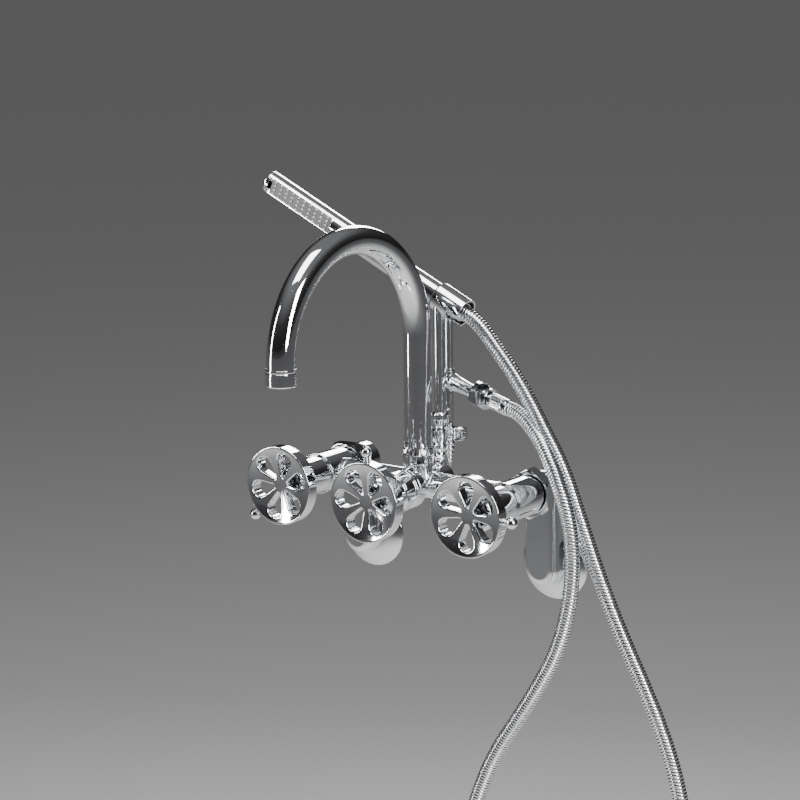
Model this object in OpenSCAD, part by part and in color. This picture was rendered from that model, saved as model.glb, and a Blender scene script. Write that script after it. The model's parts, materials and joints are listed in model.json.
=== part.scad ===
// Wall mounted bath faucet: two taps and a diverter on a cross bar, hung from the wall on two swing arms,
// with a gooseneck spout, a riser with a cradle, and a hand shower on a metal hose.
// The wall is the plane y = 0 and the faucet stands out from it towards -Y. The origin lies on the wall,
// halfway between the two wall inlets. Lengths are in millimetres.

/* [Layout] */
// Distance from the middle of the faucet to each wall inlet
inlet_half = 104; // [96:1:120]
// Height of the tap axes above the wall inlets
tap_z = 73; // [70:1:90]
// Distance of the cross bar's axis from the wall
bar_out = 64; // [62:1:66]
// Radius of the cross bar
bar_r = 12.5; // [11.5:0.5:13]

/* [Taps] */
// Radius of the side tap barrels
barrel_r = 18.5; // [18:0.5:21]
// Distance from the wall to the front of the tap barrels
barrel_front = 88; // [86:1:96]
// Distance from the wall to the front rim of the side wheels
wheel_out = 146; // [144:1:156]
// How much further out the diverter's wheel stands
diverter_step = 8; // [6:1:12]
// Radius of the wheel handles
wheel_r = 36.5; // [33:0.5:42]
// Depth of the wheel handles
wheel_depth = 12; // [10:0.5:14]
// Depth of the dish in the wheel's front
wheel_dish = 4; // [2:0.5:5]
// Radius of the tap stems
stem_r = 4; // [3.5:0.25:4.5]
// Radius of the ball on the wheel's rim
ball_r = 5.2; // [4.5:0.1:6]

/* [Spout] */
// Outer radius of the spout tube
spout_r = 12.7; // [11.5:0.1:14]
// Wall thickness of the spout tube
spout_wall = 1.5; // [1:0.1:2]
// Distance of the spout's standing leg from the wall
spout_out = 70; // [68:1:72]
// Radius of the gooseneck's bend, to the tube's centre
bend_r = 97; // [80:1:120]
// Height at which the bend starts
bend_z = 212; // [180:1:240]
// Height of the spout's mouth
mouth_z = 197; // [175:1:200]

/* [Swing arms] */
// Half width of the swing arms
arm_r = 17.5; // [16.5:0.5:20]
// Distance from the wall to the back of the arms
arm_back = 12; // [12:1:14]
// Distance from the wall to the front of the arms
arm_front = 30; // [28:1:31]
// Radius of the wall flanges
flange_r = 34.5; // [30:0.5:40]
// Height of the wall flanges
flange_h = 11; // [9:0.5:11.5]
// Outer radius of the wall nipples' thread
thread_r = 10.48; // [10:0.02:10.6]
// Outer radius of the wall nipples where the arms turn on them
nipple_r = 10.9; // [10.6:0.02:11.4]
// Length of thread that goes into the wall
nipple_in = 18; // [12:1:25]
// Width across the flats of the union nuts
union_af = 41; // [40:1:46]

/* [Riser and cradle] */
// Distance of the riser tube from the wall
riser_out = 36; // [35:0.5:38]
// Radius of the riser tube
riser_r = 5; // [4.5:0.25:5.5]
// Distance of the drop tube from the wall
drop_out = 20.5; // [20:0.5:22]
// Radius of the drop tube
drop_r = 4; // [3.5:0.25:4.5]
// Height of the hose outlet on the drop tube
outlet_z = 162; // [140:1:180]
// Height of the cradle's middle
cradle_z = 234; // [225:1:250]
// Length of the cradle
cradle_len = 31; // [26:1:36]
// Thickness of the cradle's wall
cradle_wall = 1.6; // [1.2:0.1:2.5]
// Thickness of the cradle's rubber liner
liner_t = 0.8; // [0.6:0.1:1.2]

/* [Hand shower] */
// Radius of the hand shower
shower_r = 11; // [10:0.25:12.5]
// Length of the hand shower ahead of the cradle's middle
shower_ahead = 236; // [180:1:250]
// Slope of the hand shower, in degrees
shower_tilt = 25.5; // [20:0.5:30]
// Length of the spray face
face_len = 82; // [60:1:90]
// Distance of the spray face from the hand shower's axis
face_off = 7; // [6:0.25:8]
// Outer radius of the hose
hose_r = 7; // [6:0.5:7.5]

/* [Hidden] */
$fn = 64;
run = 0.07;         // radial clearance of what turns in a bore
slip = 0.05;        // radial clearance of what is fixed in a bore
gap = 0.3;          // clearance between faces of pieces that move apart
relief = 1;         // undercut between the thread of a wall nipple and its shoulder
eps = 0.01;

// Taps, as distances from the wall along each tap's axis
nut_back = 34;
nut_front = 47;
tail_r = 15;
tail_end = nut_back + 7;
stub_r = tail_r - 2.5;
cavity_r = barrel_r - 4.5;
cavity_back = barrel_front - 22;
disc_r = cavity_r - 5;
disc_t = 3;
bonnet_r = barrel_r - 1.2;
bonnet_back = barrel_front + 0.2;
hub_r = 9;
hub_len = 7;
hot_turn = 225;
diverter_turn = 90;
diverter_r = 13;
diverter_back = 29;
spur_front = 92;
diverter_seat = spur_front - 4;

// Spout, as heights
spout_seat = tap_z + bar_r + 9;
spigot_r = spout_r - 2.8;
neck_r = spout_r - 1.2;
spout_foot = spout_seat + 13.3;
aerator_len = 15;
aerator_r = spout_r + 0.7;
spout_bore = spout_r - spout_wall;
spout_reach = spout_out + 2 * bend_r;

// Riser
riser_seat = tap_z + diverter_r + 5;
foot_top = riser_seat + 44;
clamp_z = 113;
knob_x = drop_r + 9;
knob_r = 6.5;
pin_r = 1.5;
ear_front = drop_out;
ear_t = 4.5;
cradle_x = 10;
cradle_out = (riser_out + drop_out) / 2;
liner_r = shower_r + gap + liner_t;
cradle_r = liner_r + slip + cradle_wall;

// Hose outlet: its arm leans forward and down from the drop tube
outlet_turn = -5;
outlet_fall = 14;
outlet_arm = 33;
outlet_nut = 21;
ferrule_len = 21;

// Hand shower, as distances along its axis from the cradle's middle
tail_spigot_r = shower_r - 3;
shower_back = 2;
face_start = shower_ahead - 7;
face_roll = 90;
notch_roll = 45;
plate_t = 2.2;
plate_back = face_off - 2;
plate_half = sqrt(pow(shower_r, 2) - pow(face_off, 2)) - 0.9;
nozzle_cols = 10;
nozzle_rows = 4;

hose_sides = 10;

// The hose's route, from the hand shower's tail down and round to the outlet
hose_path = [
    [24.6, -28.25, 227.1], [33, -28.25, 223.1], [63, -31, 196], [90, -33, 165], [114, -36, 132],
    [136, -38, 98], [153, -40, 61], [169, -41, 23], [185, -41, -14], [203, -41, -50],
    [223, -42, -86], [241, -42, -123], [256, -43, -161], [266, -45, -200], [269, -46, -241],
    [266, -47, -282], [256, -49, -321], [237, -51, -357], [211, -53, -388], [175, -55, -407],
    [135, -56, -408], [97, -58, -392], [69, -59, -362], [53, -60, -325], [48, -60, -284],
    [50, -60, -244], [62, -60, -205], [80, -60, -168], [102, -60, -134], [124, -60, -99],
    [143, -60, -63], [155, -60, -24], [159, -60, 4], [159, -60, 34], [154, -59, 62],
    [142, -55, 88], [125, -47, 111], [105, -37, 129], [80.3, -27.5, 141.8], [69.7, -26.6, 144.5]
];

// A child drawn along +Z is laid along a tap's axis, from the wall outwards
module on_tap(x) {
    translate([x, 0, tap_z])
        rotate([90, 0, 0])
            children();
}

// The same, from one of the wall inlets
module on_inlet(x) {
    translate([x, 0, 0])
        rotate([90, 0, 0])
            children();
}

// A child drawn along +Z is laid along the hand shower, from the cradle's middle towards its tail
module on_shower() {
    translate([cradle_x, -cradle_out, cradle_z])
        rotate([0, 90 + shower_tilt, 0])
            children();
}

// A child drawn along +Z is laid along the hose outlet, from the drop tube's axis outwards
module on_outlet() {
    translate([0, -drop_out, outlet_z])
        rotate([0, 0, outlet_turn])
            rotate([0, 90 + outlet_fall, 0])
                children();
}

// A round bar from one height to another
module bar(from, to, r) {
    translate([0, 0, from])
        cylinder(h = to - from, r = r);
}

module ring(from, to, outer, inner) {
    difference() {
        bar(from, to, outer);
        bar(from - 1, to + 1, inner);
    }
}

module hexagon(from, to, af) {
    translate([0, 0, from])
        cylinder(h = to - from, r = af / sqrt(3), $fn = 6);
}

// An O-ring round the Z axis
module o_ring(z, major, minor) {
    translate([0, 0, z])
        rotate_extrude()
            translate([major, 0])
                circle(r = minor, $fn = 32);
}

// Body

module side_barrel() {
    bar(tail_end, nut_front + 3, tail_r);
    bar(nut_front + 3, barrel_front, barrel_r);
    bar(barrel_front - 1.6, barrel_front, barrel_r + 0.7);
}

module side_bores() {
    bar(tail_end - 1, cavity_back + 1, 9);
    bar(cavity_back, barrel_front + 1, cavity_r);
}

module mixer_body() {
    color("silver")
        difference() {
            union() {
                for (x = [-inlet_half, inlet_half])
                    on_tap(x) side_barrel();
                translate([-inlet_half, -bar_out, tap_z])
                    rotate([0, 90, 0])
                        cylinder(h = 2 * inlet_half, r = bar_r);
                on_tap(0) bar(diverter_back + 2, spur_front, diverter_r);
                on_tap(0) bar(diverter_back, diverter_back + 3, diverter_r - 1.5);
                on_tap(0) bar(bar_out - 16, bar_out + 16, diverter_r + 1);
                on_tap(0) bar(spur_front - 8, spur_front, barrel_r);
                translate([0, -spout_out, tap_z]) bar(0, spout_seat - tap_z, spout_r + 0.3);
                translate([0, -riser_out, tap_z]) bar(0, riser_seat - tap_z, riser_r + 1.5);
            }
            for (x = [-inlet_half, inlet_half])
                on_tap(x) side_bores();
            for (side = [-1, 1])
                translate([side * inlet_half, -bar_out, tap_z])
                    rotate([0, -side * 90, 0])
                        cylinder(h = inlet_half - 11, r = 6);
            on_tap(0) bar(diverter_back + 5, spur_front, 6);
            on_tap(0) bar(diverter_seat, spur_front + 1, cavity_r);
            translate([0, -spout_out, tap_z]) bar(0, spout_seat - tap_z + 1, spigot_r + run);
            translate([0, -riser_out, tap_z]) bar(0, riser_seat - tap_z + 1, riser_r - 1.5);
        }
}

// Cartridges, from the seat of the fixed disc outwards

module cartridge(back, front) {
    color("goldenrod")
        difference() {
            union() {
                bar(back + 0.2, front, cavity_r - slip);
                bar(front, front + 16, cavity_r - 2.5);
                hexagon(front + 4, front + 10, 2 * cos(30) * (cavity_r + 0.4));
            }
            bar(back - 1, back + 12, disc_r + slip);
            bar(back, front + 20, stem_r + run);
        }
}

module hot_cartridge() {
    on_tap(-inlet_half) cartridge(cavity_back, barrel_front);
}

module cold_cartridge() {
    on_tap(inlet_half) cartridge(cavity_back, barrel_front);
}

module diverter_cartridge() {
    on_tap(0) cartridge(diverter_seat, spur_front + 8);
}

// One ceramic disc: two ports through a round plate
module ported_disc(from, r, port) {
    difference() {
        bar(from, from + disc_t, r);
        for (side = [-1, 1])
            translate([side * r / 2, 0, 0])
                bar(from - 1, from + disc_t + 1, port);
    }
}

module fixed_discs() {
    color("white") {
        for (x = [-inlet_half, inlet_half])
            on_tap(x) ported_disc(cavity_back + 0.3, disc_r, 2.5);
        on_tap(0) ported_disc(diverter_seat + 0.3, disc_r, 2.5);
    }
}

module cartridge_seals() {
    color("black") {
        for (x = [-inlet_half, inlet_half])
            on_tap(x) ring(bonnet_back, bonnet_back + 1.2, cavity_r + 1.6, cavity_r + 0.1);
        on_tap(0) ring(spur_front + 0.2, spur_front + 1.4, cavity_r + 1.6, cavity_r + 0.1);
    }
}

// Bonnets: thin turned covers over the cartridges, with a hole for the wheel's hub

module bonnet_shell(profile, wall, back, front) {
    difference() {
        rotate_extrude() polygon(profile);
        bar(back + 1.5, front - 4, bonnet_r - wall - 1);
        bar(back - 1, back + 1.6, cavity_r + 1.7);
        bar(front - 6, front + 1, hub_r + 0.5);
    }
}

function side_profile(back, front) = [
    [0, back], [bonnet_r, back], [bonnet_r, front - 9], [bonnet_r - 0.8, front - 5],
    [bonnet_r - 2.6, front - 2], [bonnet_r - 5, front], [0, front]
];

function diverter_profile(back, front) = [
    [0, back], [barrel_r, back], [barrel_r, back + 4], [barrel_r - 1.6, back + 5],
    [barrel_r - 1.6, back + 7], [barrel_r + 0.6, back + 8], [barrel_r + 0.6, back + 20],
    [barrel_r - 1, back + 21.5], [barrel_r - 1, back + 24], [bonnet_r, back + 25],
    [bonnet_r, front - 9], [bonnet_r - 2.6, front - 2], [bonnet_r - 5, front], [0, front]
];

module side_bonnet() {
    front = wheel_out - wheel_depth - 2;
    color("silver")
        bonnet_shell(side_profile(bonnet_back, front), 1.6, bonnet_back, front);
}

module hot_bonnet() {
    on_tap(-inlet_half) side_bonnet();
}

module cold_bonnet() {
    on_tap(inlet_half) side_bonnet();
}

module diverter_bonnet() {
    back = spur_front + 0.2;
    front = wheel_out + diverter_step - wheel_depth - 2;
    color("silver")
        on_tap(0) bonnet_shell(diverter_profile(back, front), 1.6, back, front);
}

// Wheels. Each ball lies over a spoke, and `turn` is its angle from +X

// The sides of a drop, from its narrow end to its wide one, a hair inside the two circles
function drop_edge(near, far, r0, r1) =
    let (
        a = asin((r1 - r0) / (far - near)),
        inner = [near - r0 * sin(a), 0.98 * r0 * cos(a)],
        outer = [far - r1 * sin(a), 0.98 * r1 * cos(a)]
    )
    [inner, outer, [outer.x, -outer.y], [inner.x, -inner.y]];

module drop_hole(height) {
    near = wheel_r * 0.28;
    far = wheel_r * 0.66;
    r0 = 1.8;
    r1 = wheel_r * 0.185;
    translate([near, 0, 0]) cylinder(h = height, r = r0);
    translate([far, 0, 0]) cylinder(h = height, r = r1);
    linear_extrude(height) polygon(drop_edge(near, far, r0, r1));
}

module wheel(front, turn) {
    back = front - wheel_depth;
    dish_r = (pow(wheel_r - 1.6, 2) + pow(wheel_dish, 2)) / (2 * wheel_dish);
    color("silver")
        difference() {
            union() {
                bar(back, front, wheel_r);
                bar(back - hub_len, back + 1, hub_r);
            }
            translate([0, 0, front + dish_r - wheel_dish]) sphere(r = dish_r, $fn = 128);
            for (k = [0:5])
                rotate([0, 0, turn + 30 + 60 * k])
                    translate([0, 0, back - 1])
                        drop_hole(wheel_depth + 2);
            rotate([0, 0, turn])
                translate([wheel_r - 3, 0, (back + front) / 2])
                    rotate([0, 90, 0]) cylinder(h = 5, r = 1.6);
            bar(back - hub_len - 1, back + 5, stem_r + slip);
        }
}

// The ball, its collars and its pin, along the rim's radius
module rim_ball(front, turn) {
    collar = wheel_r + 0.1;
    color("silver")
        rotate([0, 0, turn])
            translate([0, 0, front - wheel_depth / 2])
                rotate([0, 90, 0])
                    union() {
                        bar(wheel_r - 2.8, collar + 6, 1.55);
                        bar(collar, collar + 1.4, 3.9);
                        bar(collar + 1.4, collar + 2.6, 2.8);
                        bar(collar + 2.6, collar + 3.8, 3.5);
                        translate([0, 0, collar + 3.4 + ball_r]) sphere(r = ball_r);
                    }
}

// The stem, from the moving disc's drive plate to the wheel's hub
module stem(back, front) {
    color("goldenrod")
        union() {
            bar(back + 2 * disc_t + 0.5, back + 2 * disc_t + 3, disc_r - 1);
            bar(back + 2 * disc_t + 0.5, front - wheel_depth + 4.5, stem_r);
        }
}

module moving_disc(back) {
    color("ivory")
        ported_disc(back + disc_t + 0.4, disc_r - 0.3, 2);
}

module hot_wheel() {
    on_tap(-inlet_half) wheel(wheel_out, hot_turn);
}

module hot_ball() {
    on_tap(-inlet_half) rim_ball(wheel_out, hot_turn);
}

module hot_stem() {
    on_tap(-inlet_half) stem(cavity_back, wheel_out);
}

module hot_disc() {
    on_tap(-inlet_half) moving_disc(cavity_back);
}

module cold_wheel() {
    on_tap(inlet_half) wheel(wheel_out, 0);
}

module cold_ball() {
    on_tap(inlet_half) rim_ball(wheel_out, 0);
}

module cold_stem() {
    on_tap(inlet_half) stem(cavity_back, wheel_out);
}

module cold_disc() {
    on_tap(inlet_half) moving_disc(cavity_back);
}

module diverter_wheel() {
    on_tap(0) wheel(wheel_out + diverter_step, diverter_turn);
}

module diverter_ball() {
    on_tap(0) rim_ball(wheel_out + diverter_step, diverter_turn);
}

module diverter_stem() {
    on_tap(0) stem(diverter_seat, wheel_out + diverter_step);
}

module diverter_disc() {
    on_tap(0) moving_disc(diverter_seat);
}

// Unions between the barrels and the swing arms

module union_nut() {
    difference() {
        intersection() {
            hexagon(nut_back, nut_front, union_af);
            rotate_extrude()
                polygon([
                    [0, nut_back], [union_af / 2, nut_back], [union_af / 2 + 4, nut_back + 2.5],
                    [union_af / 2 + 4, nut_front - 2.5], [union_af / 2, nut_front], [0, nut_front]
                ]);
        }
        bar(nut_back + 3, nut_front + 1, tail_r + slip);
        bar(nut_back - 1, nut_back + 4, stub_r + run);
    }
}

module union_nuts() {
    color("silver") {
        on_tap(-inlet_half) union_nut();
        on_tap(inlet_half) rotate([0, 0, 30]) union_nut();
    }
}

module union_washers() {
    color("black")
        for (x = [-inlet_half, inlet_half])
            on_tap(x) ring(tail_end - 1.5, tail_end, tail_r - 0.5, 9);
}

// A swing arm: a rounded hollow casting between the union and the wall nipple

module arm_section() {
    edge = 8;
    t = arm_front - arm_back;
    square([arm_r - edge, t]);
    square([arm_r, t - edge]);
    translate([arm_r - edge, t - edge])
        intersection() {
            circle(r = edge);
            square(edge);
        }
}

module arm_end() {
    translate([0, 0, arm_back])
        rotate_extrude() arm_section();
}

module arm(x) {
    color("silver")
        difference() {
            union() {
                on_inlet(x) arm_end();
                on_tap(x) arm_end();
                for (side = [0, 1])
                    translate([x, -arm_back, 0])
                        mirror([side, 0, 0])
                            linear_extrude(tap_z) mirror([0, 1, 0]) arm_section();
                on_tap(x) bar(arm_front - 1, tail_end - 2.2, stub_r);
                on_tap(x) bar(nut_back + 3.3, tail_end - 2.2, tail_r - 0.6);
                on_inlet(x) bar(arm_back - 7, arm_back + 1, arm_r - 5);
            }
            on_tap(x) bar(arm_back + 4, tail_end, 8);
            on_inlet(x) bar(arm_back - 8, arm_front - 4, nipple_r + run);
            translate([x, -(arm_back + arm_front) / 2, 0])
                cylinder(h = tap_z, r = 6);
        }
}

module left_arm() {
    arm(-inlet_half);
}

module right_arm() {
    arm(inlet_half);
}

// Wall nipples: hollow threaded stubs, with a groove for the seal that turns in the arm
module nipple(x) {
    color("goldenrod")
        on_inlet(x)
            difference() {
                union() {
                    bar(-nipple_in, -relief, thread_r);
                    bar(-relief - 0.5, 0, thread_r - relief);
                    bar(0, arm_front - 5, nipple_r);
                }
                bar(-nipple_in - 1, arm_front, 7.5);
                ring(arm_back + 3, arm_back + 5.4, nipple_r + 1, nipple_r - 2.1);
            }
}

module left_nipple() {
    nipple(-inlet_half);
}

module right_nipple() {
    nipple(inlet_half);
}

module nipple_seal(x) {
    color("black")
        on_inlet(x) o_ring(arm_back + 4.2, nipple_r - 1.05, 1);
}

module left_nipple_seal() {
    nipple_seal(-inlet_half);
}

module right_nipple_seal() {
    nipple_seal(inlet_half);
}

// Wall flanges: domed covers that lie against the wall, carried by a web on the nipple
module flange(x) {
    collar = arm_r - 4.6;
    color("silver")
        on_inlet(x)
            rotate_extrude() {
                difference() {
                    polygon([
                        [nipple_r + slip, 0], [flange_r, 0], [flange_r, 2.2], [flange_r - 1.4, 4],
                        [flange_r - 5, 6.4], [flange_r - 10, 8.4], [flange_r - 15, 9.8],
                        [collar + 1.5, flange_h], [collar, flange_h], [collar, 4.7],
                        [nipple_r + slip, 4.7]
                    ]);
                    polygon([
                        [collar + 2, -1], [flange_r - 2.5, -1], [flange_r - 2.5, 2.4],
                        [flange_r - 6, 4.6], [flange_r - 11, 6.6], [collar + 2, 7.6]
                    ]);
                }
            }
}

module left_flange() {
    flange(-inlet_half);
}

module right_flange() {
    flange(inlet_half);
}

// Spout

// A tube's centreline: straight up, over the bend and straight down to the mouth
module gooseneck(r, foot, mouth) {
    translate([0, -spout_out, foot])
        cylinder(h = bend_z - foot, r = r);
    translate([0, -spout_out - bend_r, bend_z])
        rotate([90, 0, 90])
            rotate_extrude(angle = 180, $fn = 128)
                translate([bend_r, 0])
                    circle(r = r);
    translate([0, -spout_reach, mouth])
        cylinder(h = bend_z - mouth, r = r);
}

module spout_tube() {
    color("silver")
        difference() {
            gooseneck(spout_r, spout_foot, mouth_z + 9);
            gooseneck(spout_bore, spout_foot - 1, mouth_z);
        }
}

// The turned piece in the spout's foot, which turns in the body and is held down by the nut
module spout_spigot() {
    color("goldenrod")
        translate([0, -spout_out, 0])
            difference() {
                union() {
                    bar(spout_seat - 16, spout_seat + 0.3, spigot_r);
                    bar(spout_seat + 0.3, spout_seat + 4, spout_r - 0.2);
                    bar(spout_seat + 4, spout_foot, neck_r);
                    bar(spout_foot, spout_foot + 12, spout_bore - slip);
                }
                bar(spout_seat - 17, spout_foot + 13, spigot_r - 3);
                for (z = [spout_seat - 11, spout_seat - 6])
                    ring(z - 1.2, z + 1.2, spigot_r + 1, spigot_r - 1.9);
            }
}

module spout_seals() {
    color("black")
        translate([0, -spout_out, 0])
            for (z = [spout_seat - 11, spout_seat - 6])
                o_ring(z, spigot_r - 0.95, 0.9);
}

module spout_nut() {
    color("silver")
        translate([0, -spout_out, 0])
            difference() {
                union() {
                    bar(spout_seat - 2, spout_seat + 13, spout_r + 1.3);
                    hexagon(spout_seat, spout_seat + 8, 2 * spout_r + 2);
                }
                bar(spout_seat - 3, spout_seat + 4.3, spout_r + 0.35);
                bar(spout_seat, spout_seat + 14, neck_r + gap);
            }
}

module aerator_housing() {
    color("silver")
        translate([0, -spout_reach, 0])
            difference() {
                bar(mouth_z, mouth_z + aerator_len, aerator_r);
                bar(mouth_z - 1, mouth_z + aerator_len, spout_bore - slip);
                bar(mouth_z + 9 - slip, mouth_z + aerator_len + 1, spout_r + slip);
            }
}

// The perforated insert in the mouth
module aerator_insert() {
    r = spout_bore - 2 * slip;
    color("dimgray")
        translate([0, -spout_reach, 0])
            difference() {
                bar(mouth_z + 0.8, mouth_z + 9, r);
                bar(mouth_z + 4, mouth_z + 10, r - 1.5);
                for (row = [1:3])
                    for (k = [0:6 * row - 1])
                        rotate([0, 0, 60 * k / row])
                            translate([r * row / 3.8, 0, 0])
                                bar(mouth_z, mouth_z + 5, 0.8);
            }
}

module aerator_seal() {
    color("black")
        translate([0, -spout_reach, 0])
            ring(mouth_z + 9.1, mouth_z + 10.6, spout_bore - 2 * slip, spout_bore - 3);
}

// Riser and drop tube

// A child that runs up to the cradle is cut off where the cradle begins
module under_cradle() {
    difference() {
        children();
        on_shower() bar(-cradle_len, cradle_len, cradle_r);
    }
}

module riser_tube() {
    color("silver")
        under_cradle()
            translate([0, -riser_out, 0])
                difference() {
                    bar(foot_top, cradle_z + 5, riser_r);
                    bar(foot_top - 1, cradle_z - 20, riser_r - 1.2);
                }
}

module riser_foot() {
    h = foot_top;
    z = riser_seat;
    r = riser_r;
    color("silver")
        translate([0, -riser_out, 0])
            difference() {
                rotate_extrude()
                    polygon([
                        [0, z], [r + 2.2, z], [r + 2.2, z + 2], [r, z + 4], [r - 0.6, z + 7],
                        [r + 1.2, z + 10], [r + 1.2, z + 13], [r, z + 15], [r, z + 29], [r - 0.8, z + 31],
                        [r + 0.4, z + 34], [r + 1.8, z + 37], [r + 1.8, h - 2], [r + 0.8, h], [0, h]
                    ]);
                bar(z - 1, h + 1, riser_r - 2);
            }
}

// The clamp that ties the riser's foot to the drop tube, with an ear for its thumb screw
module riser_clamp() {
    half = 5;
    reach = riser_out - drop_out;
    color("silver")
        translate([0, 0, clamp_z])
            difference() {
                union() {
                    translate([0, -riser_out, 0]) bar(-half, half, riser_r + 2);
                    translate([0, -drop_out, 0]) bar(-half, half, drop_r + 2);
                    translate([-2.5, -riser_out, -half + 1])
                        cube([5, reach, 2 * half - 2]);
                    translate([0, -ear_front, -half])
                        cube([knob_x + 4, ear_t, 2 * half]);
                }
                translate([0, -riser_out, 0]) bar(-half - 1, half + 1, riser_r + slip);
                translate([0, -drop_out, 0]) bar(-half - 1, half + 1, drop_r + slip);
                translate([knob_x, 0, 0])
                    rotate([90, 0, 0]) bar(ear_front - ear_t - 1, ear_front + 1, pin_r + run);
            }
}

// Thumb screw in the clamp's ear: a fluted head on a pin
module clamp_knob() {
    head = ear_front + gap;
    color("silver")
        translate([knob_x, 0, clamp_z])
            rotate([90, 0, 0])
                difference() {
                    union() {
                        bar(ear_front - ear_t, head + 1, pin_r);
                        bar(head, head + 1, knob_r - 1);
                        bar(head + 1, head + 6, knob_r);
                        bar(head + 6, head + 7, knob_r - 1);
                    }
                    for (k = [0:11])
                        rotate([0, 0, 30 * k])
                            translate([knob_r + 0.3, 0, 0]) bar(head - 1, head + 8, 0.9);
                }
}

module drop_tube() {
    color("silver")
        under_cradle()
            translate([0, -drop_out, 0])
                difference() {
                    bar(outlet_z + 9, cradle_z + 5, drop_r);
                    bar(outlet_z + 8, cradle_z - 16, drop_r - 1.2);
                }
}

// The rod that carries the finial and the clamp, under the hose outlet
module drop_rod() {
    color("silver")
        translate([0, -drop_out, 0]) bar(clamp_z - 7, outlet_z - 9, drop_r);
}

module drop_finial() {
    z = clamp_z - 7;
    color("silver")
        translate([0, -drop_out, 0])
            rotate_extrude()
                polygon([
                    [0, z], [4.6, z], [4.8, z - 2], [4.1, z - 3.5], [4.5, z - 5.5], [3.8, z - 8],
                    [4.1, z - 10], [3.3, z - 13], [3.5, z - 15], [2.6, z - 18], [2.8, z - 20],
                    [1.8, z - 24], [1, z - 28], [0, z - 29]
                ]);
}

// The fitting on the drop tube, with the tapered arm that carries the hose
module hose_outlet() {
    bore = drop_r - 1.2;
    color("silver")
        difference() {
            union() {
                translate([0, -drop_out, 0]) bar(outlet_z - 9, outlet_z + 9, drop_r + 2.4);
                translate([0, -drop_out, 0]) bar(outlet_z - 11, outlet_z - 9, drop_r + 1.2);
                translate([0, -drop_out, 0]) bar(outlet_z + 9, outlet_z + 11, drop_r + 1.2);
                on_outlet()
                    rotate_extrude()
                        polygon([
                            [0, 0], [8.2, 0], [8.2, 5], [7, 13], [6.2, 22], [6, outlet_arm - 3],
                            [7.4, outlet_arm - 2.5], [7.4, outlet_arm], [0, outlet_arm]
                        ]);
            }
            translate([0, -drop_out, 0]) bar(outlet_z - 9, outlet_z + 9, bore);
            translate([0, -drop_out, 0]) bar(outlet_z + 9 - eps, outlet_z + 12, drop_r + slip);
            translate([0, -drop_out, 0]) bar(outlet_z - 12, outlet_z - 9 + eps, drop_r + slip);
            on_outlet() bar(0, outlet_arm + 1, 3);
        }
}

module outlet_hex() {
    z = outlet_arm + 0.1;
    color("silver")
        on_outlet()
            difference() {
                union() {
                    hexagon(z, z + 13, outlet_nut);
                    bar(z + 13, z + 17, outlet_nut / 2 - 0.6);
                }
                bar(z - 1, z + 18, hose_r - 1.5);
            }
}

// Cradle

module cradle_ring(outer, inner, start) {
    notch = 2 * shower_r - 4;
    difference() {
        bar(start, cradle_len / 2, outer);
        bar(start - 1, cradle_len, inner);
        rotate([0, 0, -notch_roll])
            translate([0, -notch / 2, cradle_len / 2 - 12])
                cube([2 * outer, notch, 14]);
    }
}

module cradle() {
    color("silver")
        on_shower() cradle_ring(cradle_r, liner_r + slip, -cradle_len / 2);
}

module cradle_liner() {
    lip = -cradle_len / 2 - slip;
    color("black")
        on_shower()
            union() {
                cradle_ring(liner_r, liner_r - liner_t, lip);
                ring(lip - 1.4, lip, cradle_r - 0.4, liner_r - liner_t);
            }
}

// Hand shower, along its axis, which runs from the spray end at -Z to the tail at +Z

// A block on the spray side, from a distance off the axis outwards
module spray_block(from, depth, half, start, length) {
    rotate([0, 0, -face_roll])
        translate([from, -half, -start])
            cube([depth, 2 * half, length]);
}

module shower_handle() {
    color("silver")
        on_shower()
            difference() {
                bar(-shower_ahead + 5, shower_back, shower_r);
                bar(-shower_ahead, shower_back - 3, shower_r - 3);
                spray_block(face_off, shower_r, shower_r + 1, face_start, face_len);
                spray_block(plate_back - slip, shower_r, plate_half + slip, face_start - 2, face_len - 4);
            }
}

module shower_end_cap() {
    color("silver")
        on_shower()
            rotate_extrude()
                polygon([
                    [0, -shower_ahead], [shower_r - 2.5, -shower_ahead],
                    [shower_r - 0.8, -shower_ahead + 0.8], [shower_r, -shower_ahead + 2.4],
                    [shower_r, -shower_ahead + 4.95],
                    [0, -shower_ahead + 4.95]
                ]);
}

module spray_plate() {
    color("dimgray")
        on_shower()
            spray_block(plate_back, plate_t, plate_half, face_start - 2 - slip, face_len - 4 - 2 * slip);
}

// The rubber nozzles, in staggered rows along the face
module spray_nozzles() {
    pitch = (face_len - 14) / (nozzle_cols - 1);
    row_gap = 2 * (plate_half - 1.3) / (nozzle_rows - 1);
    color("lightgray")
        on_shower()
            rotate([0, 0, -face_roll])
                for (row = [0:nozzle_rows - 1])
                    for (k = [0:nozzle_cols - 1])
                        translate([
                            face_off + 0.2,
                            (row - (nozzle_rows - 1) / 2) * row_gap,
                            -face_start + 7 + pitch * k
                        ])
                            rotate([0, 90, 0])
                                cylinder(h = 1.6, r = 1, $fn = 16);
}

module shower_tail() {
    z = shower_back + slip;
    color("silver")
        on_shower()
            rotate_extrude()
                polygon([
                    [4, z], [shower_r - 0.8, z], [shower_r - 0.8, z + 1], [tail_spigot_r, z + 2],
                    [tail_spigot_r, z + 9], [4, z + 9]
                ]);
}

module tail_nut() {
    z = shower_back + 2.5;
    color("silver")
        on_shower()
            difference() {
                union() {
                    bar(z, z + 2, shower_r - 1);
                    bar(z + 2, z + 4, shower_r - 2);
                    bar(z + 4, z + 6, shower_r - 1);
                    bar(z + 6, z + 9.5, shower_r - 2);
                }
                bar(z - 1, z + 8, tail_spigot_r + run);
                bar(z, z + 10, hose_r - 2);
            }
}

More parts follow.
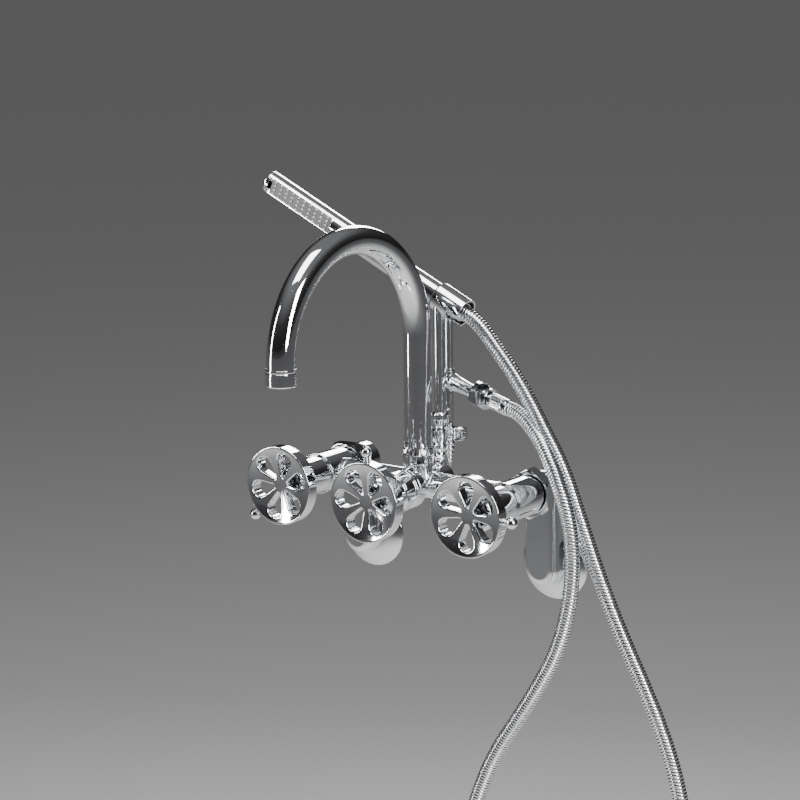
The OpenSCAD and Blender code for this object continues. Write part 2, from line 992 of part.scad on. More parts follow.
module hose_cone() {
    z = shower_back + 12.1;
    color("silver")
        on_shower()
            rotate_extrude()
                polygon([
                    [4.5, z], [hose_r + 1.2, z], [hose_r + 0.5, z + 2], [4.5, z + 2]
                ]);
}

module shower_washer() {
    color("black")
        on_shower() ring(shower_back + 9.3, shower_back + 10.3, tail_spigot_r - 0.5, 4);
}

module outlet_washer() {
    color("black")
        on_outlet() ring(outlet_arm + 17.2, outlet_arm + 17.8, hose_r - 0.6, 4);
}

module hose_ferrule() {
    z = outlet_arm + 17.9;
    color("silver")
        on_outlet()
            rotate_extrude()
                polygon([
                    [4.5, z], [hose_r - 0.6, z], [hose_r + 0.6, z + ferrule_len - 3],
                    [hose_r + 0.6, z + ferrule_len], [4.5, z + ferrule_len]
                ]);
}

// Hose: rings of hose_sides points, square to the route, joined into one tube

function unit(v) = v / norm(v);

function heading(p, k) =
    let (n = len(p) - 1)
    unit(p[min(k + 1, n)] - p[max(k - 1, 0)]);

function hose_ring(p, k) =
    let (
        t = heading(p, k),
        u = unit(cross(t, [0, 1, 0])),
        v = cross(t, u)
    )
    [for (j = [0:hose_sides - 1])
        let (a = 360 * j / hose_sides)
        p[k] + hose_r * (cos(a) * u + sin(a) * v)];

module hose() {
    n = len(hose_path);
    points = [for (k = [0:n - 1]) each hose_ring(hose_path, k)];
    sides = [for (k = [0:n - 2])
        for (j = [0:hose_sides - 1])
            let (i = (j + 1) % hose_sides)
            [k * hose_sides + j, k * hose_sides + i, (k + 1) * hose_sides + i, (k + 1) * hose_sides + j]];
    start = [for (j = [0:hose_sides - 1]) hose_sides - 1 - j];
    end = [for (j = [0:hose_sides - 1]) (n - 1) * hose_sides + j];
    color("silver")
        polyhedron(points = points, faces = [start, each sides, end], convexity = 10);
}

mixer_body();
hot_cartridge();
cold_cartridge();
diverter_cartridge();
fixed_discs();
cartridge_seals();
hot_bonnet();
cold_bonnet();
diverter_bonnet();
union_nuts();
union_washers();
spout_nut();
riser_tube();
riser_foot();
riser_clamp();
drop_tube();
drop_rod();
drop_finial();
hose_outlet();
cradle();
cradle_liner();
clamp_knob();
hot_wheel();
hot_ball();
hot_stem();
hot_disc();
cold_wheel();
cold_ball();
cold_stem();
cold_disc();
diverter_wheel();
diverter_ball();
diverter_stem();
diverter_disc();
spout_tube();
spout_spigot();
spout_seals();
aerator_housing();
aerator_insert();
aerator_seal();
left_arm();
right_arm();
left_nipple();
right_nipple();
left_flange();
right_flange();
left_nipple_seal();
right_nipple_seal();
shower_handle();
shower_end_cap();
spray_plate();
spray_nozzles();
shower_tail();
tail_nut();
hose_cone();
shower_washer();
outlet_washer();
outlet_hex();
hose_ferrule();
hose();
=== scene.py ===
# %% [markdown]
# # A wall mounted bath faucet, finished in polished chrome
#
# The faucet arrives as an imported model: every turned, cast and drilled piece already has its right size
# and place. This notebook gives those pieces their finish. It lights a small studio, hangs the shower hose,
# and turns and models the pieces that catch the eye with softened edges. Each finished piece is attached to
# the part of the faucet that it moves with.

# %% Load the frame
import json
import math

import bmesh
import bpy
from mathutils import Matrix, Vector

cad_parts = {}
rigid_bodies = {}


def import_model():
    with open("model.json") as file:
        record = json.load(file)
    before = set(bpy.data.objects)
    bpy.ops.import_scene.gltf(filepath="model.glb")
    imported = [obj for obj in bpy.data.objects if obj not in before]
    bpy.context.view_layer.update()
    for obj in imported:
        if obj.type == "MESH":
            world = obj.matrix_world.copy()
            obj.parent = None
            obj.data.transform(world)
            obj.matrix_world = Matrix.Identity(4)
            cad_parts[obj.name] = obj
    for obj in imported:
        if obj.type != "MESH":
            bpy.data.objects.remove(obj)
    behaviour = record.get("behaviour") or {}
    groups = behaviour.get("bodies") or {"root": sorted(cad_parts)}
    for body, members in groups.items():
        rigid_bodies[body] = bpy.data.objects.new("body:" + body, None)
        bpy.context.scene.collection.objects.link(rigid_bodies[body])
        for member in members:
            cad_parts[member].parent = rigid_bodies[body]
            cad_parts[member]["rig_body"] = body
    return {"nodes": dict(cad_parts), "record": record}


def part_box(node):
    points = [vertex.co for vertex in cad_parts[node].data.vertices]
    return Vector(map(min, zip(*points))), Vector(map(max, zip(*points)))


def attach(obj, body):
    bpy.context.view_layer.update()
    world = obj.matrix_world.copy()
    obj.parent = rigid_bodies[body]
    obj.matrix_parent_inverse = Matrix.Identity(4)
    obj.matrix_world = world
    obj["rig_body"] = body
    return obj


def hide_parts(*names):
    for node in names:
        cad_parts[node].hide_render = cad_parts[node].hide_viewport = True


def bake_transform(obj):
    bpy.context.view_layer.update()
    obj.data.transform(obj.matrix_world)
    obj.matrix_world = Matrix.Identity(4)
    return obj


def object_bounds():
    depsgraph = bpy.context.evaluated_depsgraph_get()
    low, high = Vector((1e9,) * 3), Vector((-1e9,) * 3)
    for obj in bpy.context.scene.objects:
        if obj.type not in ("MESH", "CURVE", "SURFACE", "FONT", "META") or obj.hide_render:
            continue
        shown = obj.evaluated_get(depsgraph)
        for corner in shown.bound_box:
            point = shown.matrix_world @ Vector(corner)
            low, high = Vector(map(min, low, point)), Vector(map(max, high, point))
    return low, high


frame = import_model()
cad_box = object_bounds()
nodes = frame["nodes"]
SLOT_OF = {s["node"]: s["material_slot"] for s in frame["record"]["subparts"]}
MM = 0.001
print("pieces in the frame:", len(nodes))

# %% [markdown]
# ## The camera
#
# A long lens from a little over two metres keeps the wheels round and the arch of the spout true. The
# camera stands to the right of the faucet and slightly above it, so that the cross bar runs away to the
# left and all three wheels show their faces.

# %% Camera
lens = bpy.data.cameras.new("studio_camera")
lens.lens = 109.35
lens.sensor_width = 36.0
lens.clip_end = 100.0
camera = bpy.data.objects.new("studio_camera", lens)
camera.location = (1.272, -1.813, 0.596)
camera.rotation_euler = [math.radians(a) for a in (78.37, 0.69, 36.405)]
bpy.context.scene.collection.objects.link(camera)
bpy.context.scene.camera = camera
print("camera stands", round(camera.location.length, 2), "m from the wall inlets")

# %% [markdown]
# ## Finishing a piece
#
# A piece is modelled in millimetres, as it would be drawn for the lathe, in its own upright frame. When
# it is done it is scaled to metres and laid in its place, and its object stays at the origin, so that
# patterns measured in object space keep their scale. Weighted normals keep flat faces flat next to a
# softened edge, which polished metal needs more than any other material.

# %% Helpers that finish a piece
def smooth(mesh, sharp=50):
    mesh.polygons.foreach_set("use_smooth", [True] * len(mesh.polygons))
    mesh.set_sharp_from_angle(angle=math.radians(sharp))


def finish_piece(name, bm, place, material, body, stands_for):
    """Lay a bmesh in millimetres in its place, as a piece that moves with a body."""
    bm.transform(place @ Matrix.Scale(MM, 4))
    mesh = bpy.data.meshes.new(name)
    bm.to_mesh(mesh)
    bm.free()
    smooth(mesh)
    mesh.materials.append(material)
    piece = bpy.data.objects.new(name, mesh)
    bpy.context.scene.collection.objects.link(piece)
    normals = piece.modifiers.new("even_normals", "WEIGHTED_NORMAL")
    normals.keep_sharp = True
    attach(piece, body)
    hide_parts(*stands_for)
    print(f"{name}: {len(mesh.polygons)} faces")
    return piece


def add(bm, part, matrix=Matrix()):
    """Put a finished part into a larger piece."""
    part.transform(matrix)
    carrier = bpy.data.meshes.new("carrier")
    part.to_mesh(carrier)
    part.free()
    bm.from_mesh(carrier)
    bpy.data.meshes.remove(carrier)


# %% [markdown]
# ## Turned pieces
#
# Most of the faucet is turned on a lathe: barrels, bonnets, flanges, balls and collars. Each is drawn as
# half an outline, radius against height. A real turned edge is never razor sharp, so the outline's
# corners are bevelled first, and the spin then carries that small radius all the way round. A bend of
# less than `CORNER` degrees is part of a drawn curve, so it is left as it is.

# %% The lathe
CORNER = 25
LATHE_STEPS = 96
SEAM = 1e-4


def corner_angle(v):
    a, b = (e.other_vert(v).co - v.co for e in v.link_edges)
    return math.pi - a.angle(b)


def turned(outline, steps=LATHE_STEPS, rounding=0.35, loop=False):
    """Spin a half outline of (radius, height) points round the upright axis."""
    bm = bmesh.new()
    points = [bm.verts.new((r, 0, z)) for r, z in outline]
    pairs = list(zip(points, points[1:]))
    if loop:
        pairs.append((points[-1], points[0]))
    for pair in pairs:
        bm.edges.new(pair)
    corners = [v for v in points if len(v.link_edges) == 2 and corner_angle(v) > math.radians(CORNER)]
    bmesh.ops.bevel(
        bm, geom=corners, offset=rounding, offset_type="OFFSET", segments=3, profile=0.5,
        affect="VERTICES", material=-1, clamp_overlap=True,
    )
    bmesh.ops.spin(
        bm, geom=bm.verts[:] + bm.edges[:], cent=(0, 0, 0), axis=(0, 0, 1),
        angle=2 * math.pi, steps=steps, use_merge=True,
    )
    bmesh.ops.remove_doubles(bm, verts=bm.verts[:], dist=SEAM)
    bmesh.ops.recalc_face_normals(bm, faces=bm.faces[:])
    return bm


def rod(low, high, r):
    return turned([(0, low), (r, low), (r, high), (0, high)])


def arc(centre_z, r, start, end, steps):
    """Points on a circle round the axis, from one angle above the horizon to another."""
    angles = [math.radians(start + (end - start) * k / steps) for k in range(steps + 1)]
    return [(max(0.0, r * math.cos(a)), centre_z + r * math.sin(a)) for a in angles]


def soften(bm, width, angle=35, segments=3, where=None):
    """Bevel the edges that are sharper than an angle, all of them or those that pass a test."""
    edges = [e for e in bm.edges if len(e.link_faces) == 2
             and e.calc_face_angle(0) > math.radians(angle) and (where is None or where(e))]
    bmesh.ops.bevel(
        bm, geom=edges, offset=width, offset_type="OFFSET", segments=segments, profile=0.5,
        affect="EDGES", material=-1, clamp_overlap=True,
    )


trial = rod(0, 10, 5)
print("a trial rod has", len(trial.faces), "faces")
trial.free()

# %% [markdown]
# ## Pieces kept as they were drawn
#
# Nuts, the clamp, the hand shower's body and other drilled pieces already have the right shape. They
# only lack a softened edge. They could be modelled again, but a copy keeps every bore and flat true: it
# is welded into one skin, its flat faces are joined up, and its edges are bevelled by a few tenths of a
# millimetre. `refined` is called further down, once the finishes exist.

# %% Refine a drawn piece
WELD = 1e-3
FLAT = 0.6


def refined(node, width):
    """Copy a drawn piece, join faces that are flat to FLAT degrees and soften its edges."""
    bm = bmesh.new()
    bm.from_mesh(nodes[node].data)
    bm.transform(Matrix.Scale(1 / MM, 4))
    bmesh.ops.remove_doubles(bm, verts=bm.verts[:], dist=WELD)
    bmesh.ops.dissolve_limit(
        bm, angle_limit=math.radians(FLAT), verts=bm.verts[:], edges=bm.edges[:],
    )
    if width:
        soften(bm, width)
    return finish_piece(
        node + "_finished", bm, Matrix(), FINISH[SLOT_OF[node]], nodes[node]["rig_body"], (node,),
    )


# %% [markdown]
# ## Materials
#
# Chrome plate is a mirror over brass: its colour is a cool grey, and what makes it look real is what
# disturbs the mirror. One even roughness would look like glass rather than a tap in use, so a slow
# waviness from hand polishing bends the reflections a little, and a thin film of dried water raises the
# roughness in soft patches and small round spots.

# %% Material helpers
def new_material(name, colour, metallic=0.0, roughness=0.5):
    material = bpy.data.materials.new(name)
    material.use_nodes = True
    shader = material.node_tree.nodes["Principled BSDF"]
    shader.inputs["Base Color"].default_value = (*colour, 1)
    shader.inputs["Metallic"].default_value = metallic
    shader.inputs["Roughness"].default_value = roughness
    return material, material.node_tree, shader


def noise(tree, scale, detail=2.0, roughness=0.5):
    where = tree.nodes.new("ShaderNodeTexCoord")
    texture = tree.nodes.new("ShaderNodeTexNoise")
    texture.inputs["Scale"].default_value = scale
    texture.inputs["Detail"].default_value = detail
    texture.inputs["Roughness"].default_value = roughness
    tree.links.new(where.outputs["Object"], texture.inputs["Vector"])
    return texture.outputs["Fac"]


def spread(tree, source, low, high, start=0.0, end=1.0):
    """Map a pattern between two values."""
    node = tree.nodes.new("ShaderNodeMapRange")
    node.inputs["From Min"].default_value = start
    node.inputs["From Max"].default_value = end
    node.inputs["To Min"].default_value = low
    node.inputs["To Max"].default_value = high
    tree.links.new(source, node.inputs["Value"])
    return node.outputs["Result"]


def larger(tree, a, b):
    node = tree.nodes.new("ShaderNodeMath")
    node.operation = "MAXIMUM"
    tree.links.new(a, node.inputs[0])
    tree.links.new(b, node.inputs[1])
    return node.outputs["Value"]


def bump(tree, shader, source, strength, distance):
    node = tree.nodes.new("ShaderNodeBump")
    node.inputs["Strength"].default_value = strength
    node.inputs["Distance"].default_value = distance
    tree.links.new(source, node.inputs["Height"])
    tree.links.new(node.outputs["Normal"], shader.inputs["Normal"])


def tint(tree, shader, source, dark, light, start=0.3, end=0.7):
    ramp = tree.nodes.new("ShaderNodeValToRGB")
    ramp.color_ramp.elements[0].position = start
    ramp.color_ramp.elements[0].color = (*dark, 1)
    ramp.color_ramp.elements[1].position = end
    ramp.color_ramp.elements[1].color = (*light, 1)
    tree.links.new(source, ramp.inputs["Fac"])
    tree.links.new(ramp.outputs["Color"], shader.inputs["Base Color"])


# %% Chrome plate
def water_spots(tree, scale, size, roughness):
    """Small round dried drops, one in each cell of a Voronoi pattern."""
    where = tree.nodes.new("ShaderNodeTexCoord")
    cells = tree.nodes.new("ShaderNodeTexVoronoi")
    cells.inputs["Scale"].default_value = scale
    tree.links.new(where.outputs["Object"], cells.inputs["Vector"])
    return spread(tree, cells.outputs["Distance"], low=roughness, high=0.0, start=size * 0.6, end=size)


def chrome_plate():
    material, tree, shader = new_material("chrome_plate", (0.74, 0.75, 0.77), metallic=1.0)
    patches = noise(tree, scale=22, detail=4, roughness=0.6)
    film = spread(tree, patches, low=0.035, high=0.11, start=0.42, end=0.72)
    spots = water_spots(tree, scale=150, size=0.14, roughness=0.2)
    tree.links.new(larger(tree, film, spots), shader.inputs["Roughness"])
    waviness = noise(tree, scale=35, detail=1)
    bump(tree, shader, waviness, strength=0.12, distance=0.0006)
    return material


chrome = chrome_plate()
print("made", chrome.name)

# %% [markdown]
# ### The other finishes
#
# Brass inside the taps is machined and left bare. Seals are matt black rubber, the tap discs are lapped
# ceramic, and the spray nozzles are soft pale silicone in a dark plastic plate.

# %% Brass, rubber, ceramic and plastics
def machined_brass():
    material, tree, shader = new_material("machined_brass", (0.78, 0.58, 0.28), metallic=1.0)
    stain = noise(tree, scale=60, detail=5, roughness=0.6)
    tint(tree, shader, stain, dark=(0.62, 0.42, 0.19), light=(0.82, 0.63, 0.33))
    tree.links.new(spread(tree, stain, low=0.18, high=0.38), shader.inputs["Roughness"])
    tool_marks = noise(tree, scale=900, detail=1)
    bump(tree, shader, tool_marks, strength=0.15, distance=0.00005)
    return material


def soft_rubber(name, dark, light, roughness):
    material, tree, shader = new_material(name, light, roughness=roughness)
    tint(tree, shader, noise(tree, scale=180, detail=3), dark, light)
    pores = noise(tree, scale=2500, detail=2)
    bump(tree, shader, pores, strength=0.25, distance=0.00004)
    return material


def moulded_plastic(name, dark, light, roughness, varies=0.06):
    material, tree, shader = new_material(name, light)
    grain = noise(tree, scale=1800, detail=2)
    tint(tree, shader, noise(tree, scale=90, detail=3), dark, light)
    gloss = spread(tree, grain, low=roughness - varies, high=roughness + varies)
    tree.links.new(gloss, shader.inputs["Roughness"])
    bump(tree, shader, grain, strength=0.2, distance=0.00003)
    return material


def lapped_ceramic():
    material, tree, shader = new_material("lapped_ceramic", (0.86, 0.85, 0.82), roughness=0.16)
    mottle = noise(tree, scale=300, detail=4)
    tint(tree, shader, mottle, dark=(0.80, 0.79, 0.75), light=(0.90, 0.89, 0.86))
    return material


brass = machined_brass()
black_rubber = soft_rubber("black_rubber", (0.012, 0.012, 0.012), (0.03, 0.03, 0.03), 0.55)
pale_silicone = soft_rubber("pale_silicone", (0.60, 0.59, 0.54), (0.76, 0.75, 0.70), 0.45)
dark_plate = moulded_plastic("dark_spray_plate", (0.05, 0.05, 0.055), (0.09, 0.09, 0.10), 0.32)
grey_plastic = moulded_plastic("grey_aerator", (0.30, 0.31, 0.32), (0.42, 0.43, 0.44), 0.4)
ceramic = lapped_ceramic()
for finish in (brass, black_rubber, pale_silicone, dark_plate, grey_plastic, ceramic):
    print("made", finish.name)

# %% [markdown]
# ### Hose metal
#
# The hose is a wound strip of chromed metal. Its crests keep the metal's bright colour and are rubbed
# smoother, and its grooves are painted near black as painted shade, for the shadow that falls in them. The
# mesh carries an attribute called `crest`, one on the crests and zero in the grooves, and the material mixes
# its colour and roughness from that.

# %% Hose metal
def hose_metal():
    material, tree, shader = new_material("hose_metal", (0.7, 0.71, 0.73), metallic=1.0)
    crest = tree.nodes.new("ShaderNodeAttribute")
    crest.attribute_name = "crest"
    # Painted shade: the grooves get a near black colour that stands for the shadow falling between the ribs.
    groove_shade, bright = (0.10, 0.10, 0.11), (0.76, 0.77, 0.79)
    tint(tree, shader, crest.outputs["Fac"], dark=groove_shade, light=bright, start=0.05, end=0.75)
    worn = spread(tree, crest.outputs["Fac"], low=0.45, high=0.12)
    film = spread(tree, noise(tree, scale=60, detail=3), low=0.10, high=0.24, start=0.4, end=0.7)
    tree.links.new(larger(tree, worn, film), shader.inputs["Roughness"])
    return material


ribbed_metal = hose_metal()
FINISH = {
    "chrome": chrome,
    "brass": brass,
    "seal_rubber": black_rubber,
    "ceramic": ceramic,
    "spray_plate": dark_plate,
    "nozzle_rubber": pale_silicone,
    "aerator_plastic": grey_plastic,
    "hose_metal": ribbed_metal,
}
for name, node in nodes.items():
    node.data.materials.clear()
    node.data.materials.append(FINISH[SLOT_OF[name]])
    smooth(node.data)
print("finishes:", ", ".join(FINISH))

# %% [markdown]
# ## The shower hose
#
# A hose is a fixed length of something that bends but doesn't stretch. This one leaves the hand shower's
# tail, falls, turns round in one loose loop under its own weight and climbs back to the fitting on the
# drop tube. The route is a chain of points on that line. A Bezier curve through them gives a smooth
# centreline, and one rib, spun on the lathe, is repeated along it by an Array and bent by a Curve
# modifier: every rib is real geometry, so it glints as the real one does.

# %% The route
HOSE_ROUTE = [
    (24.6, -28.25, 227.1), (33, -28.25, 223.1), (63, -31, 196), (90, -33, 165), (114, -36, 132),
    (136, -38, 98), (153, -40, 61), (169, -41, 23), (185, -41, -14), (203, -41, -50),
    (223, -42, -86), (241, -42, -123), (256, -43, -161), (266, -45, -200), (269, -46, -241),
    (266, -47, -282), (256, -49, -321), (237, -51, -357), (211, -53, -388), (175, -55, -407),
    (135, -56, -408), (97, -58, -392), (69, -59, -362), (53, -60, -325), (48, -60, -284),
    (50, -60, -244), (62, -60, -205), (80, -60, -168), (102, -60, -134), (124, -60, -99),
    (143, -60, -63), (155, -60, -24), (159, -60, 4), (159, -60, 34), (154, -59, 62),
    (142, -55, 88), (125, -47, 111), (105, -37, 129), (80.3, -27.5, 141.8), (69.7, -26.6, 144.5),
]
HOSE_R = 7.0


def route_curve(points):
    """Lay a smooth line through the route's points."""
    line = bpy.data.curves.new("hose_line", "CURVE")
    line.dimensions = "3D"
    line.resolution_u = 8
    line.twist_mode = "MINIMUM"
    spline = line.splines.new("BEZIER")
    spline.bezier_points.add(len(points) - 1)
    for knot, point in zip(spline.bezier_points, points):
        knot.co = Vector(point) * MM
        knot.handle_left_type = knot.handle_right_type = "AUTO"
    curve = bpy.data.objects.new("hose_line", line)
    bpy.context.scene.collection.objects.link(curve)
    return curve


hose_line = route_curve(HOSE_ROUTE)
bpy.context.view_layer.update()
centreline = [v.co.copy() for v in hose_line.to_mesh().vertices]
hose_line.to_mesh_clear()
hose_length = sum((b - a).length for a, b in zip(centreline, centreline[1:]))
print("hose length", round(hose_length, 3), "m")

# %% [markdown]
# ### One rib, repeated
#
# The hose's skin is a strip that is wound and folded into rounded ribs, about three millimetres apart.
# A tube with bumps in its material would have a smooth outline, so the ribs are modelled. A single one
# is a light ring, and the Array's step is the length shared out evenly among them, so that the last
# rib ends exactly at the end of the line.

# %% One rib, repeated
RIB_PITCH = 3.0
GROOVE_R = 6.3
RIB = [
    (GROOVE_R, 0.0), (6.4, 0.25), (6.85, 0.5), (HOSE_R, 1.1),
    (HOSE_R, 1.9), (6.85, 2.5), (6.4, 2.75), (GROOVE_R, RIB_PITCH),
]
RIB_SIDES = 24
RIB_WELD = 0.0002


def one_rib():
    """Spin one rib and mark on it where it is rubbed bright."""
    bm = bmesh.new()
    points = [bm.verts.new((r, 0, z)) for r, z in RIB]
    for pair in zip(points, points[1:]):
        bm.edges.new(pair)
    bmesh.ops.spin(
        bm, geom=bm.verts[:] + bm.edges[:], cent=(0, 0, 0), axis=(0, 0, 1),
        angle=2 * math.pi, steps=RIB_SIDES, use_merge=True,
    )
    bmesh.ops.recalc_face_normals(bm, faces=bm.faces[:])
    crest = bm.verts.layers.float.new("crest")
    for v in bm.verts:
        r = math.hypot(v.co.x, v.co.y)
        v[crest] = min(1.0, max(0.0, (r - GROOVE_R) / (HOSE_R - GROOVE_R)))
    outward = sum(f.normal.xy.dot(f.calc_center_median().xy) for f in bm.faces)
    if outward < 0:
        bmesh.ops.reverse_faces(bm, faces=bm.faces[:])
    bm.transform(Matrix.Scale(MM, 4))
    mesh = bpy.data.meshes.new("rib")
    bm.to_mesh(mesh)
    bm.free()
    return mesh


def make_hose():
    """Repeat the rib along the route and close both ends of the hose."""
    ribs = int(hose_length / (RIB_PITCH * MM))
    hose = bpy.data.objects.new("shower_hose", one_rib())
    bpy.context.scene.collection.objects.link(hose)
    repeat = hose.modifiers.new("ribs", "ARRAY")
    repeat.count = ribs
    repeat.use_relative_offset = False
    repeat.use_constant_offset = True
    repeat.constant_offset_displace = (0, 0, hose_length / ribs)
    repeat.use_merge_vertices = True
    repeat.merge_threshold = RIB_WELD
    bend = hose.modifiers.new("route", "CURVE")
    bend.object = hose_line
    bend.deform_axis = "POS_Z"
    bpy.context.view_layer.update()
    shaped = bpy.data.meshes.new_from_object(
        hose.evaluated_get(bpy.context.evaluated_depsgraph_get())
    )
    hose.modifiers.clear()
    hose.data = shaped
    bm = bmesh.new()
    bm.from_mesh(shaped)
    bmesh.ops.holes_fill(bm, edges=[e for e in bm.edges if e.is_boundary], sides=RIB_SIDES)
    bm.to_mesh(shaped)
    bm.free()
    shaped.name = "shower_hose"
    smooth(shaped, 80)
    shaped.materials.clear()
    shaped.materials.append(ribbed_metal)
    bpy.data.objects.remove(hose_line)
    return hose, ribs


hose, rib_count = make_hose()
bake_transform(hose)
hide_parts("hose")
print("hose:", rib_count, "ribs,", len(hose.data.polygons), "faces")

# %% [markdown]
# ## Where things are
#
# Most driving sizes are measured on the drawn pieces, so that the new ones sit exactly where those do.
# `tap_place` stands a piece up along a tap's axis, with its height measured out from the wall, and
# `inlet_place` does the same for a piece on a wall inlet. The hand shower lies in its cradle at an
# angle, with its own axis as its height, and the outlet's pieces point down along the hose's end.

# %% Places read from the frame
def size_of(node):
    low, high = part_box(node)
    return (high - low) / MM


def middle_of(node):
    low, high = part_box(node)
    return (high + low) / 2 / MM


def front_of(node):
    """How far a node stands out from the wall."""
    return -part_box(node)[0].y / MM


INLET_HALF = middle_of("cold_stem").x
TAP_Z = middle_of("cold_stem").z
SPOUT_OUT = -middle_of("spout_spigot").y
RISER_OUT = -middle_of("riser_foot").y
DROP_OUT = -middle_of("drop_rod").y
WHEEL_R = size_of("cold_wheel").x / 2
SPOUT_R = size_of("spout_tube").x / 2
FLANGE_R = size_of("left_flange").x / 2


def place_at(x, y, z, *turns):
    """A place in millimetres, then turns of (degrees, axis), each in the frame of the one before."""
    matrix = Matrix.Translation(Vector((x, y, z)) * MM)
    for degrees, axis in turns:
        matrix = matrix @ Matrix.Rotation(math.radians(degrees), 4, axis)
    return matrix


def tap_place(x):
    return place_at(x, 0, TAP_Z, (90, "X"))


def inlet_place(x):
    return place_at(x, 0, 0, (90, "X"))


CRADLE_X, CRADLE_Z = 10, 234
SHOWER_TILT = 25.5
OUTLET_Z = 162
OUTLET_TURN, OUTLET_DROP = -5, 14
shower_place = place_at(CRADLE_X, -(RISER_OUT + DROP_OUT) / 2, CRADLE_Z, (90 + SHOWER_TILT, "Y"))
outlet_place = place_at(0, -DROP_OUT, OUTLET_Z, (OUTLET_TURN, "Z"), (90 + OUTLET_DROP, "Y"))
print("taps at", round(INLET_HALF, 1), "mm each side,", round(TAP_Z, 1), "mm up; wheel radius", WHEEL_R)

# %% [markdown]
# ## The body casting
#
# The cross bar, the two tap barrels, the diverter's spur and the sockets for the spout and the riser are
# one brazed body. It could be joined with booleans, but they leave ragged triangles along every seam,
# which a mirror finish shows. So each part is turned by itself and laid in place, as it is before it is
# brazed, and where two meet, a slim turned ring stands for the fillet. The barrels and the spur are
# hollow in front, because the tap cartridges sit in them.

# %% Body casting
BAR_OUT = 64.0
BAR_R = 12.5
BARREL_R = 18.5
BARREL_BACK, BARREL_FRONT = 50.0, 88.0
RAISED = 0.7
NECK_R, NECK_BACK = 15.0, 41.0
CAVITY_R = BARREL_R - 4.5
CAVITY_BACK = BARREL_FRONT - 22
BAR_END = INLET_HALF - CAVITY_R + 0.4


def barrel():
    """A tap's barrel on its neck, with a raised rim and an open cavity in front."""
    return turned([
        (0, NECK_BACK), (NECK_R, NECK_BACK), (NECK_R, BARREL_BACK), (BARREL_R - 0.8, BARREL_BACK),
        (BARREL_R, BARREL_BACK + 1), (BARREL_R, BARREL_FRONT - 2.2),
        (BARREL_R + RAISED, BARREL_FRONT - 1.6), (BARREL_R + RAISED, BARREL_FRONT),
        (CAVITY_R, BARREL_FRONT), (CAVITY_R, CAVITY_BACK), (0, CAVITY_BACK),
    ], rounding=0.4)


SPUR_R = 13.0
BAND_R = SPUR_R + 1
SPUR_BACK, SPUR_FRONT = 29.0, 92.0
CUP_BACK = SPUR_FRONT - 8
DIVERTER_SEAT = SPUR_FRONT - 4


def spur():
    """The diverter's spur, with one wide band and a cup that its bonnet screws to."""
    return turned([
        (0, SPUR_BACK), (SPUR_R - 2.5, SPUR_BACK), (SPUR_R - 1, SPUR_BACK + 1.5), (SPUR_R, SPUR_BACK + 2.5),
        (SPUR_R, 46.5), (BAND_R, 48), (BAND_R, 80), (SPUR_R, 81.5), (SPUR_R, 83.5), (BARREL_R, CUP_BACK),
        (BARREL_R, SPUR_FRONT), (CAVITY_R, SPUR_FRONT), (CAVITY_R, DIVERTER_SEAT), (0, DIVERTER_SEAT),
    ], rounding=0.5)


COLLAR_BEAD = 0.5


def collar(low, high):
    """A small raised ring round the cross bar, as left by brazing."""
    foot, crest = BAR_R - 0.5, BAR_R + COLLAR_BEAD
    return turned([(foot, low), (crest, low + 0.4), (crest, high - 0.4), (foot, high)],
                  rounding=0.5, loop=True)


def mm_place(x, y, z, *turns):
    """The same as place_at, for parts that are put together while still in millimetres."""
    matrix = Matrix.Translation((x, y, z))
    for degrees, axis in turns:
        matrix = matrix @ Matrix.Rotation(math.radians(degrees), 4, axis)
    return matrix


# %% Put the body together
SPOUT_SEAT = TAP_Z + BAR_R + 9
RISER_SEAT = TAP_Z + SPUR_R + 5
RISER_SOCKET_R = 6.5

body = bmesh.new()
for side in (-1, 1):
    add(body, barrel(), mm_place(side * INLET_HALF, 0, TAP_Z, (90, "X")))
    add(body, collar(BARREL_R - 0.6, BARREL_R + 2.4),
        mm_place(side * INLET_HALF, -BAR_OUT, TAP_Z, (-90 * side, "Y")))
add(body, rod(-BAR_END, BAR_END, BAR_R), mm_place(0, -BAR_OUT, TAP_Z, (90, "Y")))
add(body, spur(), mm_place(0, 0, TAP_Z, (90, "X")))
for side in (-1, 1):
    add(body, collar(BAND_R, BAND_R + 2.5), mm_place(0, -BAR_OUT, TAP_Z, (90 * side, "Y")))
add(body, rod(TAP_Z, SPOUT_SEAT, SPOUT_R + 0.3), mm_place(0, -SPOUT_OUT, 0))
add(body, rod(TAP_Z, RISER_SEAT, RISER_SOCKET_R), mm_place(0, -RISER_OUT, 0))
finish_piece("body_casting", body, Matrix(), chrome, "mixer", ("mixer_body",))

# %% [markdown]
# ## Bonnets
#
# A bonnet screws over each cartridge. The side bonnets are plain and end in a rounded shoulder close
# behind the wheel. The diverter's is stepped, with a wide band between two grooves. Both are shells
# with a thin wall, so the lathe's outline runs out along the face and back along the bore as one loop.

# %% Bonnets
HUB_R = 9.0
HOLE_R = HUB_R + 0.5
BONNET_R = BARREL_R - 1.2
BONNET_WALL = 2.6
SHOULDER = 5


def shoulder(front, height):
    """A quarter of an ellipse, from the bonnet's side over to its front."""
    angles = [math.radians(a) for a in range(0, 91, 10)]
    return [(BONNET_R - SHOULDER + SHOULDER * math.cos(a), front - height + height * math.sin(a))
            for a in angles]


def shell(outline, back, front):
    """Close a bonnet's outside with a thin wall, open at both ends."""
    bore, mouth = BONNET_R - BONNET_WALL, BONNET_R - BONNET_WALL + 1
    inside = [(HOLE_R, front), (HOLE_R, front - 5), (bore, front - 5),
              (bore, back + 1.5), (mouth, back + 1.5), (mouth, back)]
    return turned(outline + inside, rounding=0.5, loop=True)


def side_bonnet(back, front):
    return shell([(BONNET_R, back)] + shoulder(front, 6), back, front)


